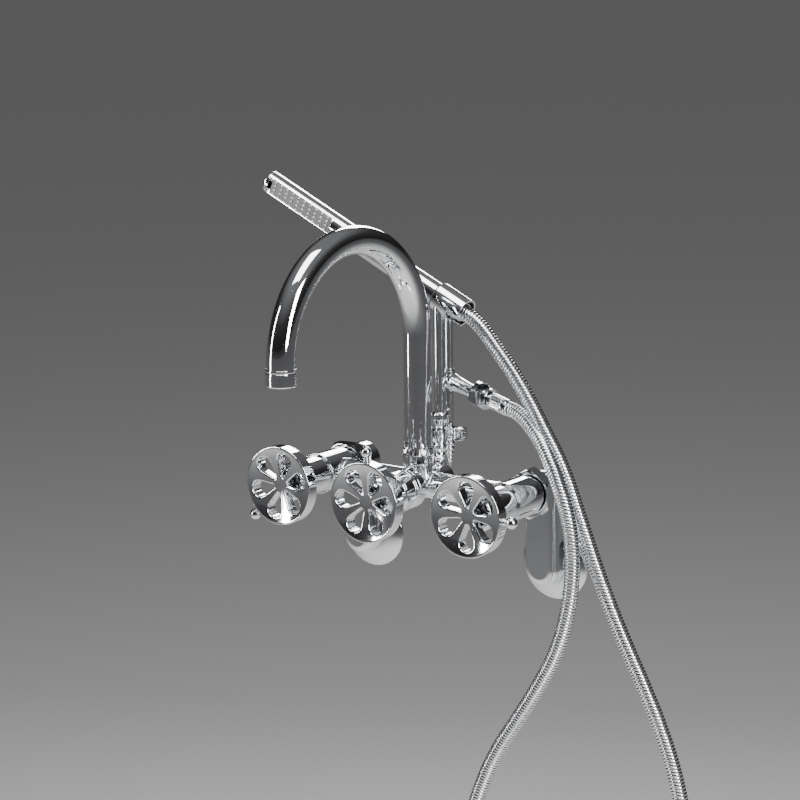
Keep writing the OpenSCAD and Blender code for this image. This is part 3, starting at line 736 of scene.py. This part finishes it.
def diverter_bonnet(back, front):
    band_r, groove_r, step_r = BARREL_R + 0.6, BARREL_R - 1.6, BARREL_R - 1
    return shell([
        (BARREL_R, back), (BARREL_R, back + 4), (groove_r, back + 5), (groove_r, back + 7),
        (band_r, back + 8), (band_r, back + 20), (step_r, back + 21.5),
        (step_r, back + 24), (BONNET_R, back + 25),
    ] + shoulder(front, 7), back, front)


BONNETS = (
    ("hot_bonnet", side_bonnet, -INLET_HALF), ("cold_bonnet", side_bonnet, INLET_HALF),
    ("diverter_bonnet", diverter_bonnet, 0),
)
for node, make, x in BONNETS:
    low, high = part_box(node)
    finish_piece(node + "_turned", make(-high.y / MM, -low.y / MM), tap_place(x),
                 chrome, "mixer", (node,))

# %% [markdown]
# ## Wheels
#
# Each wheel is a thick disc with a shallow dish turned into its face and six drop-shaped windows cut
# through it. Cutting the windows with booleans would leave ragged faces that polished metal shows at
# once, so one sixth of the face is built round a single window, as rings that run from the window's
# edge to the sixth's border. Spinning it into six copies makes the whole face, and extruding that gives
# the thickness.

# %% One sixth of a wheel's face
RIM_LINE = 1.6
HUB_FACE = 5.0
WINDOW_NEAR, WINDOW_FAR = 0.27 * WHEEL_R, 0.655 * WHEEL_R
NEAR_R, FAR_R = 1.9, 0.2 * WHEEL_R
LEAN = math.degrees(math.asin((FAR_R - NEAR_R) / (WINDOW_FAR - WINDOW_NEAR)))


def around(cx, r, start, end, steps):
    """Points on an arc, without its first."""
    angles = [math.radians(start + (end - start) * k / steps) for k in range(1, steps + 1)]
    return [(cx + r * math.cos(a), r * math.sin(a)) for a in angles]


def along(start, end, steps):
    """Points on a straight line, without its first."""
    return [tuple(s + (e - s) * k / steps for s, e in zip(start, end)) for k in range(1, steps + 1)]


def window_outline():
    """A drop: a large arc, a small arc nearer the hub, and the two straight sides between them."""
    tangent = 90 + LEAN
    far_top = around(WINDOW_FAR, FAR_R, 60, tangent, 5)
    near_top = around(WINDOW_NEAR, NEAR_R, 0, tangent, 1)
    upper = far_top + along(far_top[-1], near_top[-1], 9)
    near = around(WINDOW_NEAR, NEAR_R, tangent, 360 - tangent, 6)
    lower = [(x, -y) for x, y in upper[::-1][1:]]
    last = around(WINDOW_FAR, FAR_R, -61, -60, 1)
    return around(WINDOW_FAR, FAR_R, -60, 60, 16) + upper + near + lower + last


def sixth_outline():
    """The border of a sixth: rim, side, hub and side, with as many points as its window."""
    r = WHEEL_R - RIM_LINE
    corner = [(k * math.cos(math.radians(30)), k * math.sin(math.radians(30))) for k in (r, HUB_FACE)]
    upper = along(corner[0], corner[1], 14)
    inner = around(0, HUB_FACE, 30, -30, 6)
    lower = [(x, -y) for x, y in upper[::-1][1:]]
    return around(0, r, -30, 30, 16) + upper + inner + lower + [(corner[0][0], -corner[0][1])]


def closed_wire(bm, points):
    verts = [bm.verts.new((x, y, 0)) for x, y in points]
    return [bm.edges.new(pair) for pair in zip(verts, verts[1:] + verts[:1])]


print("window points", len(window_outline()), "border points", len(sixth_outline()))

# %% [markdown]
# ### The dish and the cast edges
#
# The face isn't flat: it sinks in a shallow dish, and every window's edge is rounded as a casting's is.
# A bevel round the windows would pinch the rings of faces, so both are put in as heights instead. Each
# point of the face sinks by the dish's depth at its radius, and by a quarter circle near a window.

# %% Heights on the face
DISH = 4.0
EDGE_ROUND = 1.5


def dish_height(r):
    """The dish is part of a sphere that meets the flat rim line."""
    edge = WHEEL_R - RIM_LINE
    ball = (edge ** 2 + DISH ** 2) / (2 * DISH)
    return 0.0 if r >= edge - 1e-3 else ball - math.sqrt(ball ** 2 - r ** 2) - DISH


def window_distance(x, y):
    """Distance from a point of the face to the edge of the nearest window."""
    r, angle = math.hypot(x, y), math.atan2(y, x)
    sixth = math.radians(60)
    angle = (angle + sixth / 2) % sixth - sixth / 2
    x, y = r * math.cos(angle) - WINDOW_NEAR, abs(r * math.sin(angle))
    lean = math.radians(LEAN)
    along_side = x * math.cos(lean) + y * math.sin(lean)
    if along_side < 0:
        return math.hypot(x, y) - NEAR_R
    if along_side > (WINDOW_FAR - WINDOW_NEAR) * math.cos(lean):
        return math.hypot(x - (WINDOW_FAR - WINDOW_NEAR), y) - FAR_R
    return y * math.cos(lean) - x * math.sin(lean) - NEAR_R


def edge_drop(x, y):
    """How far a cast window edge, rounded like a quarter circle, lies below the face."""
    inward = EDGE_ROUND - max(0.0, window_distance(x, y))
    return 0.0 if inward <= 0 else EDGE_ROUND - math.sqrt(EDGE_ROUND ** 2 - min(inward, EDGE_ROUND) ** 2)


print("the dish is", round(-dish_height(0), 2), "mm deep in the middle")

# %% [markdown]
# ### The whole wheel
#
# Both outlines of the sixth have the same number of points, so Bridge can join them and Subdivide can
# lay rings between them. Spin copies the sixth round, flat rings grow to the rim and to the middle, and
# the extrusion gives the wheel its depth. A plain turned hub closes the back.

# %% The whole wheel
WHEEL_DEPTH = 12.0
HUB_LENGTH = 7.0
CENTRE_R = 2.5
RINGS = 9


def on_circle(v, r):
    return abs(math.hypot(v.co.x, v.co.y) - r) < 0.02


def grow(bm, r, new_r):
    """Pull a flat ring out of the circle of edges at radius r, to a new radius."""
    edges = [e for e in bm.edges if e.is_boundary and all(on_circle(v, r) for v in e.verts)]
    made = bmesh.ops.extrude_edge_only(bm, edges=edges)["geom"]
    verts = [g for g in made if isinstance(g, bmesh.types.BMVert)]
    bmesh.ops.scale(bm, vec=(new_r / r, new_r / r, 1), verts=verts)


def wheel_face():
    bm = bmesh.new()
    wires = closed_wire(bm, window_outline()) + closed_wire(bm, sixth_outline())
    bridged = bmesh.ops.bridge_loops(bm, edges=wires)
    spokes = [e for e in bridged["edges"] if e not in wires]
    bmesh.ops.subdivide_edges(bm, edges=spokes, cuts=RINGS, use_grid_fill=True)
    bmesh.ops.spin(
        bm, geom=bm.verts[:] + bm.edges[:] + bm.faces[:], cent=(0, 0, 0), axis=(0, 0, 1),
        angle=math.radians(300), steps=5, use_duplicate=True,
    )
    bmesh.ops.remove_doubles(bm, verts=bm.verts[:], dist=WELD)
    grow(bm, WHEEL_R - RIM_LINE, WHEEL_R)
    grow(bm, HUB_FACE, CENTRE_R)
    centre = [e for e in bm.edges if e.is_boundary and all(on_circle(v, CENTRE_R) for v in e.verts)]
    bmesh.ops.holes_fill(bm, edges=centre, sides=len(centre))
    return bm


def wheel():
    bm = wheel_face()
    made = bmesh.ops.extrude_face_region(bm, geom=bm.faces[:], use_keep_orig=True)["geom"]
    back = {g for g in made if isinstance(g, bmesh.types.BMVert)}
    for v in bm.verts:
        height = dish_height(math.hypot(v.co.x, v.co.y)) - edge_drop(v.co.x, v.co.y)
        v.co.z = -WHEEL_DEPTH if v in back else height
    bmesh.ops.recalc_face_normals(bm, faces=bm.faces[:])
    soften(bm, 0.7, angle=55, where=lambda e: all(on_circle(v, WHEEL_R) for v in e.verts))
    low, high = -WHEEL_DEPTH - HUB_LENGTH, -WHEEL_DEPTH + 0.5
    hub = turned([(0, low), (HUB_R - 1, low), (HUB_R, low + 2), (HUB_R, high), (0, high)], rounding=0.6)
    add(bm, hub)
    return bm


HALF_SPOKE = 30
WHEELS = (("hot_wheel", -INLET_HALF, 225), ("diverter_wheel", 0, 90), ("cold_wheel", INLET_HALF, 0))
for node, x, ball_angle in WHEELS:
    on_stem = place_at(0, 0, front_of(node), (ball_angle + HALF_SPOKE, "Z"))
    finish_piece(node + "_turned", wheel(), tap_place(x) @ on_stem,
                 chrome, nodes[node]["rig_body"], (node,))

# %% [markdown]
# ### The ball on each wheel's rim
#
# A short stack of collars carries a polished ball. All of it is one turning, so it is one outline: pin,
# wide collar, neck, narrow collar and then the ball's arc.

# %% Balls
BALL_R = 5.2
BALL_NECK_R = 2.1
PIN_R, PIN_START = 1.55, WHEEL_R - 2.8
RINGS_START = WHEEL_R + 0.1
WIDE_R, WAIST_R, NARROW_R = 3.9, 2.8, 3.5


def rim_ball():
    z = RINGS_START
    neck = -math.degrees(math.acos(BALL_NECK_R / BALL_R))
    return turned([
        (0, PIN_START), (PIN_R, PIN_START), (PIN_R, z), (WIDE_R, z), (WIDE_R, z + 1.4),
        (WAIST_R, z + 1.5), (WAIST_R, z + 2.5), (NARROW_R, z + 2.6), (NARROW_R, z + 3.6),
    ] + arc(z + 3.4 + BALL_R, BALL_R, neck, 90, 24), steps=64, rounding=0.3)


for (wheel_node, x, ball_angle), node in zip(WHEELS, ("hot_ball", "diverter_ball", "cold_ball")):
    rim_middle = front_of(wheel_node) - WHEEL_DEPTH / 2
    on_rim = place_at(0, 0, rim_middle, (ball_angle, "Z"), (90, "Y"))
    finish_piece(node + "_turned", rim_ball(), tap_place(x) @ on_rim,
                 chrome, nodes[node]["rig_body"], (node,))

# %% [markdown]
# ## Swing arms and wall flanges
#
# An arm is a casting with a stadium outline: two round ends joined by straight sides, with its front
# edge rounded over generously. Two cylinders and a box would leave seams on the flat front, so a single
# filled circle is stretched into the stadium, pulled out to its thickness, and its front edge is
# bevelled with many segments. A boss at the top runs in the union nut, and a ring at the bottom in the
# flange.

# %% Swing arms
ARM_R = 17.5
ARM_STEPS = 96
ARM_BACK, ARM_FRONT = 12.0, 30.0
FRONT_EDGE, BACK_EDGE = 8.0, 0.8
BOSS_R, BOSS_FRONT = 12.5, 38.8
RING_BORE_R, RING_R, RING_BACK = 11.0, 12.4, 5.2


def swing_arm():
    bm = bmesh.new()
    bmesh.ops.create_circle(bm, segments=ARM_STEPS, radius=ARM_R, cap_ends=True)
    bmesh.ops.rotate(bm, verts=bm.verts[:], matrix=Matrix.Rotation(math.pi / ARM_STEPS, 3, "Z"))
    upper = [v for v in bm.verts if v.co.y > 0]
    bmesh.ops.translate(bm, verts=upper, vec=(0, TAP_Z, 0))
    made = bmesh.ops.extrude_face_region(bm, geom=bm.faces[:], use_keep_orig=True)["geom"]
    front = [g for g in made if isinstance(g, bmesh.types.BMVert)]
    bmesh.ops.translate(bm, verts=bm.verts[:], vec=(0, 0, ARM_BACK))
    bmesh.ops.translate(bm, verts=front, vec=(0, 0, ARM_FRONT - ARM_BACK))
    bmesh.ops.recalc_face_normals(bm, faces=bm.faces[:])
    for height, width, segments in ((ARM_FRONT, FRONT_EDGE, 12), (ARM_BACK, BACK_EDGE, 3)):
        rim = [e for e in bm.edges if all(abs(v.co.z - height) < 0.01 for v in e.verts)]
        bmesh.ops.bevel(bm, geom=rim, offset=width, offset_type="OFFSET", segments=segments,
                        profile=0.5, affect="EDGES", material=-1, clamp_overlap=True)
    add(bm, rod(ARM_FRONT - 1, BOSS_FRONT, BOSS_R), Matrix.Translation((0, TAP_Z, 0)))
    ring_front = ARM_BACK + 0.5
    add(bm, turned([(RING_BORE_R, RING_BACK), (RING_R, RING_BACK), (RING_R, ring_front),
                    (RING_BORE_R, ring_front)], loop=True))
    return bm


for node, x in (("left_arm", -INLET_HALF), ("right_arm", INLET_HALF)):
    finish_piece(node + "_cast", swing_arm(), inlet_place(x), chrome, nodes[node]["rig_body"], (node,))

# %% [markdown]
# A flange is spun from sheet: a thin dome that lies on the wall, hollow behind, with a short collar that
# the arm's ring runs in. Its outline is a power curve, steep at the foot and flat at the crown, drawn
# once for the outside and once, a little smaller, for the hollow.

# %% Wall flanges
DOME_POWER = 1.9
DOME_STEPS = 18
CROWN_R, CROWN = 14.6, 11.0
SEAT_R, SEAT = 12.9, 4.7
BORE_R = 10.97
FOOT = 0.02


def dome(r_low, r_high, low, high):
    """A dome's profile from its foot at the large radius up to its crown."""
    points = []
    for k in range(DOME_STEPS + 1):
        share = 1 - k / DOME_STEPS
        points.append((r_low + (r_high - r_low) * share, low + (high - low) * (1 - share ** DOME_POWER)))
    return points


def wall_flange():
    outside = [(FLANGE_R, FOOT)] + dome(CROWN_R, FLANGE_R, 2.0, CROWN)
    inside = [(SEAT_R, CROWN), (SEAT_R, SEAT), (BORE_R, SEAT), (BORE_R, FOOT), (CROWN_R, FOOT)]
    under = dome(CROWN_R + 0.3, FLANGE_R - 2.4, 0.5, CROWN - 3)[::-1]
    return turned(outside + inside + under, rounding=0.4, loop=True, steps=128)


for node, x in (("left_flange", -INLET_HALF), ("right_flange", INLET_HALF)):
    finish_piece(node + "_spun", wall_flange(), inlet_place(x), chrome, nodes[node]["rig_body"], (node,))

# %% [markdown]
# The nipples screw into the wall. A true thread is a helix, but rings at the same pitch look alike from
# every side and stay one clean turning, so the thread is a row of V grooves at the pitch of a half-inch
# pipe thread. A groove further in front holds the seal that the arm turns on.

# %% Threaded nipples
THREAD_PITCH = 1.814
THREAD_DEPTH = 1.0
THREAD_TURNS = 9
THREAD_R = 10.48
ROOT_R = THREAD_R - THREAD_DEPTH
THREAD_END = -18
NIPPLE_R, NIPPLE_FRONT = 10.9, 25
WATERWAY_R = 7.5
SEAL_BACK, SEAL_FRONT = 15, 17.4
SEAL_R = NIPPLE_R - 2.1


def nipple():
    outline = [(WATERWAY_R, THREAD_END), (ROOT_R, THREAD_END)]
    for k in range(THREAD_TURNS):
        z = THREAD_END + 0.6 + k * THREAD_PITCH
        outline += [(THREAD_R, z + 0.5), (THREAD_R, z + 0.9), (ROOT_R, z + 1.6)]
    outline += [
        (ROOT_R, 0), (NIPPLE_R, 0), (NIPPLE_R, SEAL_BACK), (SEAL_R, SEAL_BACK), (SEAL_R, SEAL_FRONT),
        (NIPPLE_R, SEAL_FRONT), (NIPPLE_R, NIPPLE_FRONT), (WATERWAY_R, NIPPLE_FRONT),
    ]
    return turned(outline, rounding=0.12, loop=True, steps=64)


for node, x in (("left_nipple", -INLET_HALF), ("right_nipple", INLET_HALF)):
    finish_piece(node + "_threaded", nipple(), inlet_place(x), brass, nodes[node]["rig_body"], (node,))

# %% [markdown]
# ## The gooseneck spout
#
# The spout is one bent tube. A curve with a round bevel would do, but its bend is only nearly round. A
# circle that is pulled up the standing leg, spun half a turn round the bend's centre and pulled down to
# the mouth gives the exact arc, and it is what a tube bender does.

# %% Spout tube
BEND_R = 97.0
BEND_Z = 212.0
MOUTH_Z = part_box("aerator_housing")[0].z / MM
FOOT_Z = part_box("spout_tube")[0].z / MM
TUBE_END = MOUTH_Z + 9.2


def pull(bm, edges, vec):
    """Pull a ring of edges out into a tube, and give back its new end."""
    made = bmesh.ops.extrude_edge_only(bm, edges=edges)["geom"]
    verts = [g for g in made if isinstance(g, bmesh.types.BMVert)]
    bmesh.ops.translate(bm, verts=verts, vec=vec)
    return [g for g in made if isinstance(g, bmesh.types.BMEdge)]


def gooseneck():
    bm = bmesh.new()
    bmesh.ops.create_circle(bm, segments=64, radius=SPOUT_R)
    bmesh.ops.translate(bm, verts=bm.verts[:], vec=(0, -SPOUT_OUT, FOOT_Z))
    top = pull(bm, bm.edges[:], (0, 0, BEND_Z - FOOT_Z))
    verts = list({v for e in top for v in e.verts})
    spun = bmesh.ops.spin(
        bm, geom=verts + top, cent=(0, -SPOUT_OUT - BEND_R, BEND_Z), axis=(1, 0, 0),
        angle=math.pi, steps=96,
    )["geom_last"]
    pull(bm, [g for g in spun if isinstance(g, bmesh.types.BMEdge)], (0, 0, TUBE_END - BEND_Z))
    bmesh.ops.holes_fill(bm, edges=[e for e in bm.edges if e.is_boundary], sides=64)
    bmesh.ops.recalc_face_normals(bm, faces=bm.faces[:])
    return bm


finish_piece("spout_tube_bent", gooseneck(), Matrix(), chrome, "spout", ("spout_tube",))

# %% [markdown]
# ### The mouth collar
#
# A wide collar is pushed over the end of the tube and holds the aerator. A thin line runs round it near
# its top, where its two halves meet. It is open at both ends, so its outline is a closed loop.

# %% Mouth collar
REACH = -middle_of("aerator_housing").y
MOUTH_R = size_of("aerator_housing").x / 2
LINE_R = MOUTH_R - 0.45
MOUTH_BORE_R = SPOUT_R - 1.55
SOCKET_R = SPOUT_R + 0.05
COLLAR_TOP, SOCKET_Z = 15, 9


def mouth_collar():
    return turned([
        (MOUTH_BORE_R, 0), (MOUTH_R - 0.8, 0), (MOUTH_R, 1), (MOUTH_R, 11.6), (LINE_R, 12),
        (LINE_R, 12.7), (MOUTH_R, 13.1), (MOUTH_R, COLLAR_TOP), (SOCKET_R, COLLAR_TOP),
        (SOCKET_R, SOCKET_Z), (MOUTH_BORE_R, SOCKET_Z),
    ], rounding=0.3, loop=True)


finish_piece("mouth_collar", mouth_collar(), place_at(0, -REACH, MOUTH_Z), chrome, "spout",
             ("aerator_housing",))
refined("aerator_insert", 0.15)

# %% [markdown]
# ## The riser's foot and the finial
#
# The riser stands in a stack of turned rings that swells into a bell, and the drop tube's rod ends
# below in a beaded spike. Both are lathe work with many small steps. The beads get smaller towards the
# tip, so they are a list of radii, and a loop draws each as a flattened arc between two waists.

# %% Riser foot and finial
FOOT_R, FOOT_HEIGHT = 5.0, 44
BEADS = ((4.8, 3.4), (4.2, 3.0), (3.7, 2.6), (3.1, 2.2), (2.5, 1.7))
BEAD_FLATNESS = 0.8
FINIAL_LENGTH = 29


def riser_foot():
    z, top = RISER_SEAT, RISER_SEAT + FOOT_HEIGHT
    r = FOOT_R
    return turned([
        (0, z), (r + 2.2, z), (r + 2.2, z + 2), (r, z + 4), (r - 0.6, z + 7), (r + 1.2, z + 10),
        (r + 1.2, z + 13), (r, z + 15), (r, z + 29), (r - 0.8, z + 31), (r + 0.4, z + 34),
        (r + 1.8, z + 37), (r + 1.8, top - 2), (r + 0.8, top), (0, top),
    ], steps=64, rounding=0.6)


def bead(r, waist):
    """The round side of a bead, from one waist to the next."""
    half = math.degrees(math.acos(waist / r))
    return arc(0, r, half, -half, 10)[1:-1]


def finial():
    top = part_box("drop_rod")[0].z / MM
    tip = top - FINIAL_LENGTH
    outline = [(0, top), (4.6, top)]
    z = top - 0.6
    for r, waist in BEADS:
        reach = math.sqrt(r ** 2 - waist ** 2) * BEAD_FLATNESS
        outline += [(waist, z)] + [(x, z - reach + y * BEAD_FLATNESS) for x, y in bead(r, waist)]
        z -= 2 * reach
    outline += [(BEADS[-1][1], z), (1.2, tip + 3), (0.6, tip + 0.4), (0, tip)]
    return turned(outline, steps=48, rounding=0.2)


finish_piece("riser_foot_turned", riser_foot(), place_at(0, -RISER_OUT, 0), chrome, "mixer", ("riser_foot",))
finish_piece("finial_turned", finial(), place_at(0, -DROP_OUT, 0), chrome, "mixer", ("drop_finial",))

# %% [markdown]
# ## Hose fittings
#
# The ferrule at the outlet is crimped onto the hose, with fine flutes round its middle to grip by.
# Cutting twenty-four grooves would be slow and ragged. The lathe makes a plain blank with many steps
# instead, and the flutes are pressed in by drawing its points towards the axis in a wave.

# %% Fluted ferrule
FERRULE_BACK, FERRULE_FRONT = 50.9, 71.9
FLUTES = 24
FLUTE_DEPTH = 0.05


def flute(bm, low, high):
    """Press a wave into the points between two heights, as a share of their radius."""
    for v in bm.verts:
        if low < v.co.z < high:
            angle = math.atan2(v.co.y, v.co.x)
            share = 1 - FLUTE_DEPTH * (0.5 + 0.5 * math.cos(FLUTES * angle))
            v.co.x *= share
            v.co.y *= share


def ferrule():
    back, front = FERRULE_BACK, FERRULE_FRONT
    bm = turned([
        (0, back), (6.6, back), (7.4, back + 0.8), (7.4, back + 2.6), (7.0, back + 3.2),
        (7.35, back + 3.8), (7.5, front - 6.2),
        (7.0, front - 5.6), (7.5, front - 5), (7.6, front - 1), (7.2, front), (0, front),
    ], steps=6 * FLUTES, rounding=0.25)
    flute(bm, back + 3.7, front - 6)
    return bm


finish_piece("ferrule_fluted", ferrule(), outlet_place, chrome, "mixer", ("hose_ferrule",))

# %% [markdown]
# ## The hand shower's spray face
#
# Soft nozzles stand in straight rows through the dark plate. Each is a tiny cone with a dimple at its
# mouth, so that lime can be rubbed off. A nozzle has few faces, so forty turned ones, joined into one
# piece, cost little, and every dimple catches its own shadow, which a bump map would not give.

# %% Spray nozzles
SHOWER_R = 11.0
NOZZLE_ROWS, NOZZLE_COLUMNS = 4, 10
FACE_START, FACE_END = 229.0, 147.0
FACE_MARGIN = 7
FACE_OFF = 7.0
SPRAY_TURN = -90
PLATE_HALF = math.sqrt(SHOWER_R ** 2 - FACE_OFF ** 2) - 0.9
SIDE_MARGIN = 1.3


def nozzle():
    return turned([(0, 0), (1.05, 0), (0.85, 1.5), (0.5, 1.6), (0.4, 0.9), (0, 0.8)],
                  steps=14, rounding=0.12)


def nozzle_field():
    bm = bmesh.new()
    pitch = (FACE_START - FACE_END - 2 * FACE_MARGIN) / (NOZZLE_COLUMNS - 1)
    row_gap = 2 * (PLATE_HALF - SIDE_MARGIN) / (NOZZLE_ROWS - 1)
    for row in range(NOZZLE_ROWS):
        across = (row - (NOZZLE_ROWS - 1) / 2) * row_gap
        for column in range(NOZZLE_COLUMNS):
            height = -FACE_START + FACE_MARGIN + pitch * column
            add(bm, nozzle(), mm_place(FACE_OFF + 0.2, across, height, (90, "Y")))
    return bm


face_place = shower_place @ place_at(0, 0, 0, (SPRAY_TURN, "Z"))
finish_piece("spray_nozzles_soft", nozzle_field(), face_place,
             pale_silicone, "handset", ("spray_nozzles",))

# %% [markdown]
# ### The end cap
#
# The hand shower's far end is closed by a cap with a rounded edge. The lathe's own rounding is too
# small for it, so the curve is drawn in a few points and the lathe softens the bends between them.

# %% End cap
CAP_END = -236.0
CAP_LENGTH = 4.9


def end_cap():
    end, foot = CAP_END, CAP_END + CAP_LENGTH
    r = SHOWER_R
    return turned([(0, end), (r - 3.4, end), (r - 1.6, end + 0.5), (r - 0.4, end + 1.6), (r, end + 3),
                   (r, foot), (0, foot)], rounding=0.5)


finish_piece("shower_end_cap_turned", end_cap(), shower_place, chrome, "handset", ("shower_end_cap",))

# %% [markdown]
# ## The rest of the visible pieces
#
# These keep their drawn shape and get softened edges, each as wide as its size asks for. Plain tubes
# have no edge in sight, so theirs is zero and only their faces are joined up. The pieces that are left,
# such as the tap discs and seals, are out of sight and stay as they were drawn.

# %% Refined pieces
SOFT_EDGES = {
    "union_nuts": 0.5, "spout_nut": 0.35, "riser_tube": 0, "drop_tube": 0, "drop_rod": 0,
    "riser_clamp": 0.4, "clamp_knob": 0.25, "hose_outlet": 0.35, "outlet_hex": 0.4, "cradle": 0.4,
    "cradle_liner": 0.3, "shower_handle": 0.25, "spray_plate": 0.3, "shower_tail": 0.2,
    "tail_nut": 0.25, "hose_cone": 0.2,
}
for node, width in SOFT_EDGES.items():
    refined(node, width)

# %% [markdown]
# ## The studio
#
# Chrome shows only what is around it, so the studio is built for its reflections. A pale floor lies well
# below the faucet: a nearer one would fill every surface that looks down with white.

# %% Floor
FLOOR_R = 60
FLOOR_DROP = 0.75


def pale_floor():
    bm = bmesh.new()
    bmesh.ops.create_circle(bm, segments=64, radius=FLOOR_R, cap_ends=True)
    mesh = bpy.data.meshes.new("floor")
    bm.to_mesh(mesh)
    bm.free()
    mesh.transform(Matrix.Translation((0, 0, cad_box[0].z - FLOOR_DROP)))
    mesh.materials.append(new_material("floor_paint", (0.80, 0.80, 0.79), roughness=0.7)[0])
    floor = bpy.data.objects.new("floor", mesh)
    bpy.context.scene.collection.objects.link(floor)


pale_floor()
print("the floor lies", round(FLOOR_DROP - cad_box[0].z, 2), "m below the wall inlets")

# %% [markdown]
# ### Lights and room
#
# Four soft lights stand round the faucet. The key is a large one high on the right, and a tall narrow
# strip on the left draws a bright line down every tube. One hangs above, and one behind gives the back
# its edges. The room itself is dark at eye level and paler towards the floor and the ceiling, which
# gives the metal the dark bands that make it read as chrome.

# %% Lights
AIM = Vector((0, -0.08, 0.12))


def soft_light(name, place, width, height, power):
    light = bpy.data.lights.new(name, "AREA")
    light.shape = "RECTANGLE"
    light.size, light.size_y = width, height
    light.energy = power
    lamp = bpy.data.objects.new(name, light)
    lamp.location = place
    lamp.rotation_mode = "QUATERNION"
    lamp.rotation_quaternion = (Vector(place) - AIM).to_track_quat("Z", "Y")
    bpy.context.scene.collection.objects.link(lamp)
    print(f"{name} light: {power} W from {width} x {height} m")


soft_light("key", (1.9, -0.7, 1.0), 0.6, 1.6, 75)
soft_light("strip", (-1.5, -1.6, 0.6), 0.22, 1.8, 30)
soft_light("top", (0.1, -0.5, 2.3), 1.3, 1.3, 45)
soft_light("back", (-0.9, 1.5, 1.1), 0.7, 0.9, 30)

# %% Room
ROOM_SHADES = ((0.40, 0.30), (0.50, 0.06), (0.56, 0.015), (0.72, 0.04), (0.90, 0.20))
COOL = 1.02


def dim_room():
    """A world whose grey depends only on how far up or down a ray looks."""
    world = bpy.data.worlds.new("room")
    world.use_nodes = True
    bpy.context.scene.world = world
    room = world.node_tree
    direction = room.nodes.new("ShaderNodeTexCoord")
    split = room.nodes.new("ShaderNodeSeparateXYZ")
    height = room.nodes.new("ShaderNodeMapRange")
    height.inputs["From Min"].default_value = -1
    shade = room.nodes.new("ShaderNodeValToRGB")
    ramp = shade.color_ramp.elements
    ramp[0].position, ramp[1].position = ROOM_SHADES[0][0], ROOM_SHADES[-1][0]
    for position, _ in ROOM_SHADES[1:-1]:
        ramp.new(position)
    for element, (_, grey) in zip(ramp, ROOM_SHADES):
        element.color = (grey, grey, grey * COOL, 1)
    room.links.new(direction.outputs["Generated"], split.inputs["Vector"])
    room.links.new(split.outputs["Z"], height.inputs["Value"])
    room.links.new(height.outputs["Result"], shade.inputs["Fac"])
    room.links.new(shade.outputs["Color"], room.nodes["Background"].inputs["Color"])


dim_room()
print("the room has", len(ROOM_SHADES), "shades from floor to ceiling")

# %% [markdown]
# ## The drawn size
#
# The drawn faucet's size is printed.

# %% Drawn size
print("drawn size ", [round(c, 4) for c in cad_box[1] - cad_box[0]])
